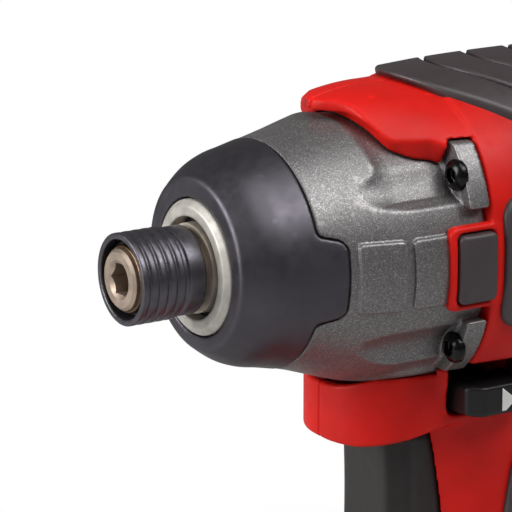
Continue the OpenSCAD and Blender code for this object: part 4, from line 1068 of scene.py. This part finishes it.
def moulded(name, rgb, rough, grain, depth, specular=0.5):
    """Moulded plastic or rubber: faint clouding, a fine texture and edges painted paler, partly as wear and
    partly as painted highlight.
    """
    base = linear(*rgb)
    f = Finish(name, rough, specular=specular)
    body = f.clouds(base, size=9.0, dark=0.9, pale=1.1)
    # Edges painted paler: partly wear, partly painted highlight.
    f.colour(f.mix(f.edges(low=0.52, high=0.6), body, scaled(base, factor=1.22)))
    f.rough(f.spread(f.noise(size=2.5), low=rough - 0.05, high=rough + 0.06))
    f.bump(f.noise(grain, detail=2.0), strength=0.35, depth=depth)
    return f.material


def coated(name, rgb, rough, grain, depth, metallic):
    """Moulded piece under a thin satin coat that reflects like dark metal."""
    material = moulded(name, rgb, rough, grain, depth)
    material.node_tree.nodes["Principled BSDF"].inputs["Metallic"].default_value = metallic
    return material


FLAKE_SIZE = 0.15
FLAKE_SHARE = 0.7
FLAKE_TONES = ((0.0, 0.5), (0.5, 0.95), (0.85, 1.3), (1.0, 2.8))


def cast_metal(name, rgb, rough, metallic):
    """Cast case with a metallic coat full of fine sparkle."""
    base = linear(*rgb)
    f = Finish(name, rough, metallic=metallic)
    body = f.clouds(base, size=12.0, dark=0.92, pale=1.08)
    sparkle = f.ramp(f.flakes(FLAKE_SIZE), [(place, scaled(base, tone)) for place, tone in FLAKE_TONES])
    coat = f.mix(FLAKE_SHARE, body, sparkle)
    # Edges painted paler still: partly wear, partly painted highlight.
    f.colour(f.mix(f.edges(low=0.52, high=0.62), coat, scaled(base, factor=1.5)))
    f.rough(f.spread(f.noise(size=0.8), low=rough - 0.06, high=rough + 0.08))
    f.bump(f.noise(size=0.3, detail=2.0), strength=0.4, depth=0.02)
    return f.material


def turned(name, rgb, rough, metallic=1.0):
    """Turned steel with fine rings along its axis and slight staining."""
    base = linear(*rgb)
    f = Finish(name, rough, metallic=metallic)
    f.colour(f.clouds(base, size=3.0, dark=0.8, pale=1.15, detail=4.0))
    f.rough(f.spread(f.noise(size=0.9), low=rough - 0.07, high=rough + 0.07))
    f.bump(f.noise(size=0.25, detail=1.0, stretch=(1, 0.03, 0.03)), strength=0.25, depth=0.012)
    return f.material


def clear(name, rgb):
    """Frosted lens."""
    f = Finish(name, rough=0.2)
    f.shader.inputs["Transmission Weight"].default_value = 0.6
    f.colour(f.clouds(linear(*rgb), size=2.0, dark=0.9, pale=1.0))
    return f.material


MATERIALS = {
    "red_plastic": moulded("red_moulded_plastic", (205, 24, 17), 0.44, grain=0.32, depth=0.018, specular=0.2),
    "grey_cast_metal": cast_metal("grey_cast_metal", (120, 118, 118), 0.42, metallic=0.68),
    "black_rubber": moulded("dark_rubber", (54, 45, 47), 0.5, grain=0.3, depth=0.03, specular=0.75),
    "steel": turned("bright_steel", (178, 172, 162), 0.3),
    "blued_steel": turned("blued_steel", (94, 91, 97), 0.37, metallic=0.85),
    "spring_bronze": turned("spring_bronze", (110, 88, 68), 0.36),
    "black_steel": turned("black_steel", (14, 14, 15), 0.22, metallic=0.5),
    "black_plastic": moulded(
        "black_moulded_plastic", (20, 19, 20), 0.42, grain=0.3, depth=0.015, specular=0.4,
    ),
    "grey_plastic": moulded("grey_moulded_plastic", (70, 67, 68), 0.5, grain=0.3, depth=0.018),
    "red_wire": moulded("wire_cover", (170, 20, 20), 0.45, grain=0.4, depth=0.01),
    "cell_wrap": moulded("cell_wrap", (40, 88, 150), 0.35, grain=0.8, depth=0.01),
    "green_board": moulded("circuit_board", (30, 96, 60), 0.4, grain=0.5, depth=0.01),
    "clear_lens": clear("frosted_lens", (235, 235, 230)),
}
BOOT_MATERIAL = coated("satin_boot", (84, 81, 87), 0.43, grain=0.28, depth=0.02, metallic=0.9)
TRIGGER_MATERIAL = moulded("trigger_plastic", (34, 28, 28), 0.44, grain=0.3, depth=0.012)
SPINDLE_MATERIAL = turned("spindle_steel", (184, 166, 150), 0.45, metallic=0.8)
RING_MATERIAL = turned("matt_ring_steel", (198, 194, 186), 0.5, metallic=0.45)
# The collar's steel is painted paler than the bright steel, as painted light for its lit look.
COLLAR_PAINTED_LIGHT_MATERIAL = turned("collar_steel_painted_light", (212, 200, 184), 0.45, metallic=0.5)
ARROW_MATERIAL = moulded("white_mark", (225, 225, 222), 0.5, grain=0.4, depth=0.01)


def paint(obj, material):
    obj.data.materials.clear()
    obj.data.materials.append(material)


def paint_node(obj, material):
    """Paints a CAD node and leaves its mesh as it is."""
    for slot in obj.material_slots:
        slot.material = material
    if not obj.material_slots:
        obj.data.materials.append(material)


# Pieces, each meshed within a box that has room for it

def flank_box(side, xs, ys, zs):
    """Corners of a box on one side of the tool, with ys measured outward from the middle."""
    low_y, high_y = sorted(side * y for y in ys)
    return (xs[0], low_y, zs[0]), (xs[1], high_y, zs[1])


def place(name, field, box, step, body, slot, nodes, material=None):
    """A dressed piece that stands for CAD nodes and moves with their body."""
    obj = field_object(name, field, *box, step)
    paint(obj, material or MATERIALS[slot])
    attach(obj, body)
    if nodes:
        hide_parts(*nodes)
    return obj


def housings():
    for side, word in SIDES:
        place("red_shell_" + word, housing(side), flank_box(side, (-70, 47), (0, 33), (35, 217)),
              MIDDLE, "housing", "red_plastic", ["housing_" + word])
        place("flank_rubber_" + word, motor_grip(side), flank_box(side, (-33, 20), (22, 33), (165, 199)),
              FINE, "housing", "black_rubber", ["motor_grip_" + word])
        place("handle_rubber_" + word, handle_grip(side), flank_box(side, (-27, 10), (0, 33), (70, 141)),
              FINE, "housing", "black_rubber", ["handle_grip_" + word])
        place("flank_pad_" + word, side_pad(side), flank_box(side, (19, 31), (25, 34), (172, 192)),
              CLOSE, "housing", "black_rubber", ["side_pad_" + word])
    place("top_rubber", top_grip, ((-70, -31, 182), (29, 31, 219)), RIBBED,
          "housing", "black_rubber", ["top_grip"])


def nose():
    place("cast_gear_case", gear_case, ((20, -32, 152), (60, 32, 215)), CLOSE,
          "housing", "grey_cast_metal", ["gear_case"])
    place("rubber_boot", nose_boot, ((47, -29, 153), (73, 29, 211)), FINE,
          "housing", "black_rubber", ["nose_boot"], BOOT_MATERIAL)
    place("steel_nose_ring", nose_ring, ((68, -15, 167), (75, 15, 197)), TURNED,
          "housing", "steel", ["nose_ring"], RING_MATERIAL)
    place("case_screw_heads", case_screws, ((24, -28.5, 159), (28.5, 28.5, 205)), TURNED,
          "housing", "black_steel", ["case_screws"])
    place("ridged_sleeve", chuck_sleeve, ((75, -10, 172), (90.5, 10, 192)), TURNED,
          "sleeve", "blued_steel", ["chuck_sleeve"])
    place("snap_ring", snap_ring, ((88, -7.5, 174), (90, 7.5, 190)), SMALL,
          "anvil", "spring_bronze", ["chuck_retainer"])
    # This washer is painted black to stand for the shade behind the snap ring.
    place("washer_painted_as_shade", washer_painted_as_shade, ((87, -8, 173), (89, 8, 191)), SMALL,
          "anvil", "black_steel", [])


def controls():
    place("trigger_lever", trigger, ((5, -11, 108), (36, 11, 142)), FINE,
          "trigger", "grey_plastic", ["trigger"], TRIGGER_MATERIAL)
    place("selector_bar", selector, ((5, -25, 146), (22, 25, 159)), CLOSE,
          "selector", "black_plastic", ["direction_selector"])
    for side, word in SIDES:
        place("selector_arrow_" + word, arrow(side), flank_box(side, (8, 16), (23.8, 24.7), (148, 157)), MARK,
              "selector", "grey_plastic", [], ARROW_MATERIAL)


# Springs: name, rear and front body, rear and front end, radius, wire, turns and the CAD node
SPRINGS = (
    ("hammer_coil", "carrier", "hammer", 15.8, 36.0, 12.2, 2.4, 3.5, "hammer_spring"),
    ("sleeve_coil", "sleeve", "anvil", 80.96, 87.64, 7.25, 0.8, 2.5, "chuck_spring"),
)


def springs():
    """Coils fixed in place between the two bodies they press apart."""
    for name, rear, front, low, high, radius, wire, turns, node in SPRINGS:
        obj = mesh_object(name, *coil(low, high, radius, wire, turns))
        paint(obj, MATERIALS["steel"])
        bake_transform(obj)
        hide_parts(node)


def battery():
    place("battery_shell", battery_case, ((-56, -36, 0), (56, 36, 32)), COARSE,
          "battery", "black_plastic", ["battery_case"])


def carried_over(frame):
    """Materials for the CAD nodes that stay in view."""
    slots = {p["node"]: p["material_slot"] for p in frame["record"]["subparts"]}
    own = {
        "anvil": SPINDLE_MATERIAL,
        # The collar washer takes the paler steel that stands for painted light.
        "collar_washer": COLLAR_PAINTED_LIGHT_MATERIAL,
        "front_bushing": MATERIALS["black_steel"],
    }
    for name, obj in frame["nodes"].items():
        paint_node(obj, own.get(name, MATERIALS[slots[name]]))


# Camera

CAMERA_BACK = Vector((0.5101, 0.8164, 0.2706))
CAMERA_RIGHT = Vector((-0.848, 0.530, 0.0))
CAMERA_RANGE = 700.0
PIXELS_PER_MM = 5.0
FRAME_PIXELS = 512
SENSOR_WIDTH = 36.0
CLIP_START = 0.01
RIM_SHIFT = (26.7, 4.7)


def camera():
    """The photo's view, set by where the chuck's rim stands in the picture."""
    back = CAMERA_BACK.normalized()
    right = CAMERA_RIGHT.normalized()
    up = back.cross(right)
    at = Vector((RIM_X, 0, AXIS_Z)) + RIM_SHIFT[0] * right + RIM_SHIFT[1] * up + CAMERA_RANGE * back
    data = bpy.data.cameras.new("camera")
    data.sensor_width = SENSOR_WIDTH
    data.lens = SENSOR_WIDTH * PIXELS_PER_MM * CAMERA_RANGE / FRAME_PIXELS
    data.clip_start = CLIP_START
    obj = bpy.data.objects.new("camera", data)
    bpy.context.scene.collection.objects.link(obj)
    turn = Matrix((right, up, back)).transposed().to_4x4()
    obj.matrix_world = Matrix.Translation(at * MM) @ turn
    bpy.context.scene.camera = obj


# Light and floor

# Lamps: name, place, size in metres and power in watts
LAMPS = (
    ("key", (20, 400, 1000), 0.9, 5.6),
    ("rim", (-290, 480, 820), 0.4, 2.8),
    ("front", (740, -190, 400), 0.5, 5.6),
)
LAMP_TARGET = (20, 0, 150)
SOFT_LIGHT = 0.08
MIRRORED = 0.06
FLOOR_HALF = 3.0
FLOOR_DROP = 0.0002
FLOOR_GREY = (0.53, 0.53, 0.53, 1)
FLOOR_FADE = (0.12, 0.34)


def lamp(name, at, size, power):
    """A round soft lamp aimed at the tool."""
    data = bpy.data.lights.new(name, "AREA")
    data.shape = "DISK"
    data.size = size
    data.energy = power
    obj = bpy.data.objects.new(name, data)
    bpy.context.scene.collection.objects.link(obj)
    at, target = Vector(at) * MM, Vector(LAMP_TARGET) * MM
    obj.matrix_world = Matrix.Translation(at) @ (at - target).to_track_quat("Z", "Y").to_matrix().to_4x4()


def lights():
    for name, at, size, power in LAMPS:
        lamp(name, at, size, power)


def seen_directly(tree):
    """1 for rays from the camera and through glass, and a share for those in mirrors."""
    path = tree.nodes.new("ShaderNodeLightPath")
    total = path.outputs["Is Camera Ray"]
    for name, share in (("Is Transmission Ray", 1.0), ("Is Glossy Ray", MIRRORED)):
        part, join = tree.nodes.new("ShaderNodeMath"), tree.nodes.new("ShaderNodeMath")
        part.operation, join.operation = "MULTIPLY", "MAXIMUM"
        part.inputs[1].default_value = share
        tree.links.new(path.outputs[name], part.inputs[0])
        tree.links.new(total, join.inputs[0])
        tree.links.new(part.outputs[0], join.inputs[1])
        total = join.outputs[0]
    return total


def world():
    """Weak soft light all round, behind a background that is seen as white."""
    w = bpy.data.worlds.new("studio")
    bpy.context.scene.world = w
    w.use_nodes = True
    tree = w.node_tree
    tree.nodes.clear()
    out = tree.nodes.new("ShaderNodeOutputWorld")
    mix = tree.nodes.new("ShaderNodeMixShader")
    soft, white = tree.nodes.new("ShaderNodeBackground"), tree.nodes.new("ShaderNodeBackground")
    for node, strength in ((soft, SOFT_LIGHT), (white, 1.0)):
        node.inputs["Color"].default_value = WHITE
        node.inputs["Strength"].default_value = strength
    tree.links.new(seen_directly(tree), mix.inputs["Fac"])
    tree.links.new(soft.outputs[0], mix.inputs[1])
    tree.links.new(white.outputs[0], mix.inputs[2])
    tree.links.new(mix.outputs[0], out.inputs["Surface"])


def away_from_tool(tree):
    """0 on the floor round the tool, rising to 1 away from it."""
    where = tree.nodes.new("ShaderNodeNewGeometry")
    length = tree.nodes.new("ShaderNodeVectorMath")
    length.operation = "LENGTH"
    fade = tree.nodes.new("ShaderNodeMapRange")
    fade.interpolation_type = "SMOOTHSTEP"
    fade.inputs["From Min"].default_value, fade.inputs["From Max"].default_value = FLOOR_FADE
    tree.links.new(where.outputs["Position"], length.inputs[0])
    tree.links.new(length.outputs["Value"], fade.inputs["Value"])
    return fade.outputs["Result"]


def floor_material():
    """Pale grey near the tool, seen as white away from it."""
    material = bpy.data.materials.new("pale_floor")
    material.use_nodes = True
    tree = material.node_tree
    tree.nodes.clear()
    out = tree.nodes.new("ShaderNodeOutputMaterial")
    pale, white, mix = [tree.nodes.new("ShaderNode" + n) for n in ("BsdfDiffuse", "Emission", "MixShader")]
    pale.inputs["Color"].default_value = FLOOR_GREY
    white.inputs["Strength"].default_value = 1.0
    times = tree.nodes.new("ShaderNodeMath")
    times.operation = "MULTIPLY"
    tree.links.new(away_from_tool(tree), times.inputs[0])
    tree.links.new(seen_directly(tree), times.inputs[1])
    tree.links.new(times.outputs[0], mix.inputs["Fac"])
    tree.links.new(pale.outputs[0], mix.inputs[1])
    tree.links.new(white.outputs[0], mix.inputs[2])
    tree.links.new(mix.outputs[0], out.inputs["Surface"])
    return material


def floor():
    """A pale floor that fades to white away from the object."""
    s = FLOOR_HALF
    mesh = bpy.data.meshes.new("floor")
    mesh.from_pydata([(-s, -s, 0), (s, -s, 0), (s, s, 0), (-s, s, 0)], [], [(0, 1, 2, 3)])
    obj = bpy.data.objects.new("floor", mesh)
    bpy.context.scene.collection.objects.link(obj)
    obj.location.z = -FLOOR_DROP
    obj.data.materials.append(floor_material())


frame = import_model()
bpy.context.scene.view_settings.view_transform = "Standard"
camera()
world()
floor()
lights()
housings()
nose()
controls()
springs()
battery()
carried_over(frame)
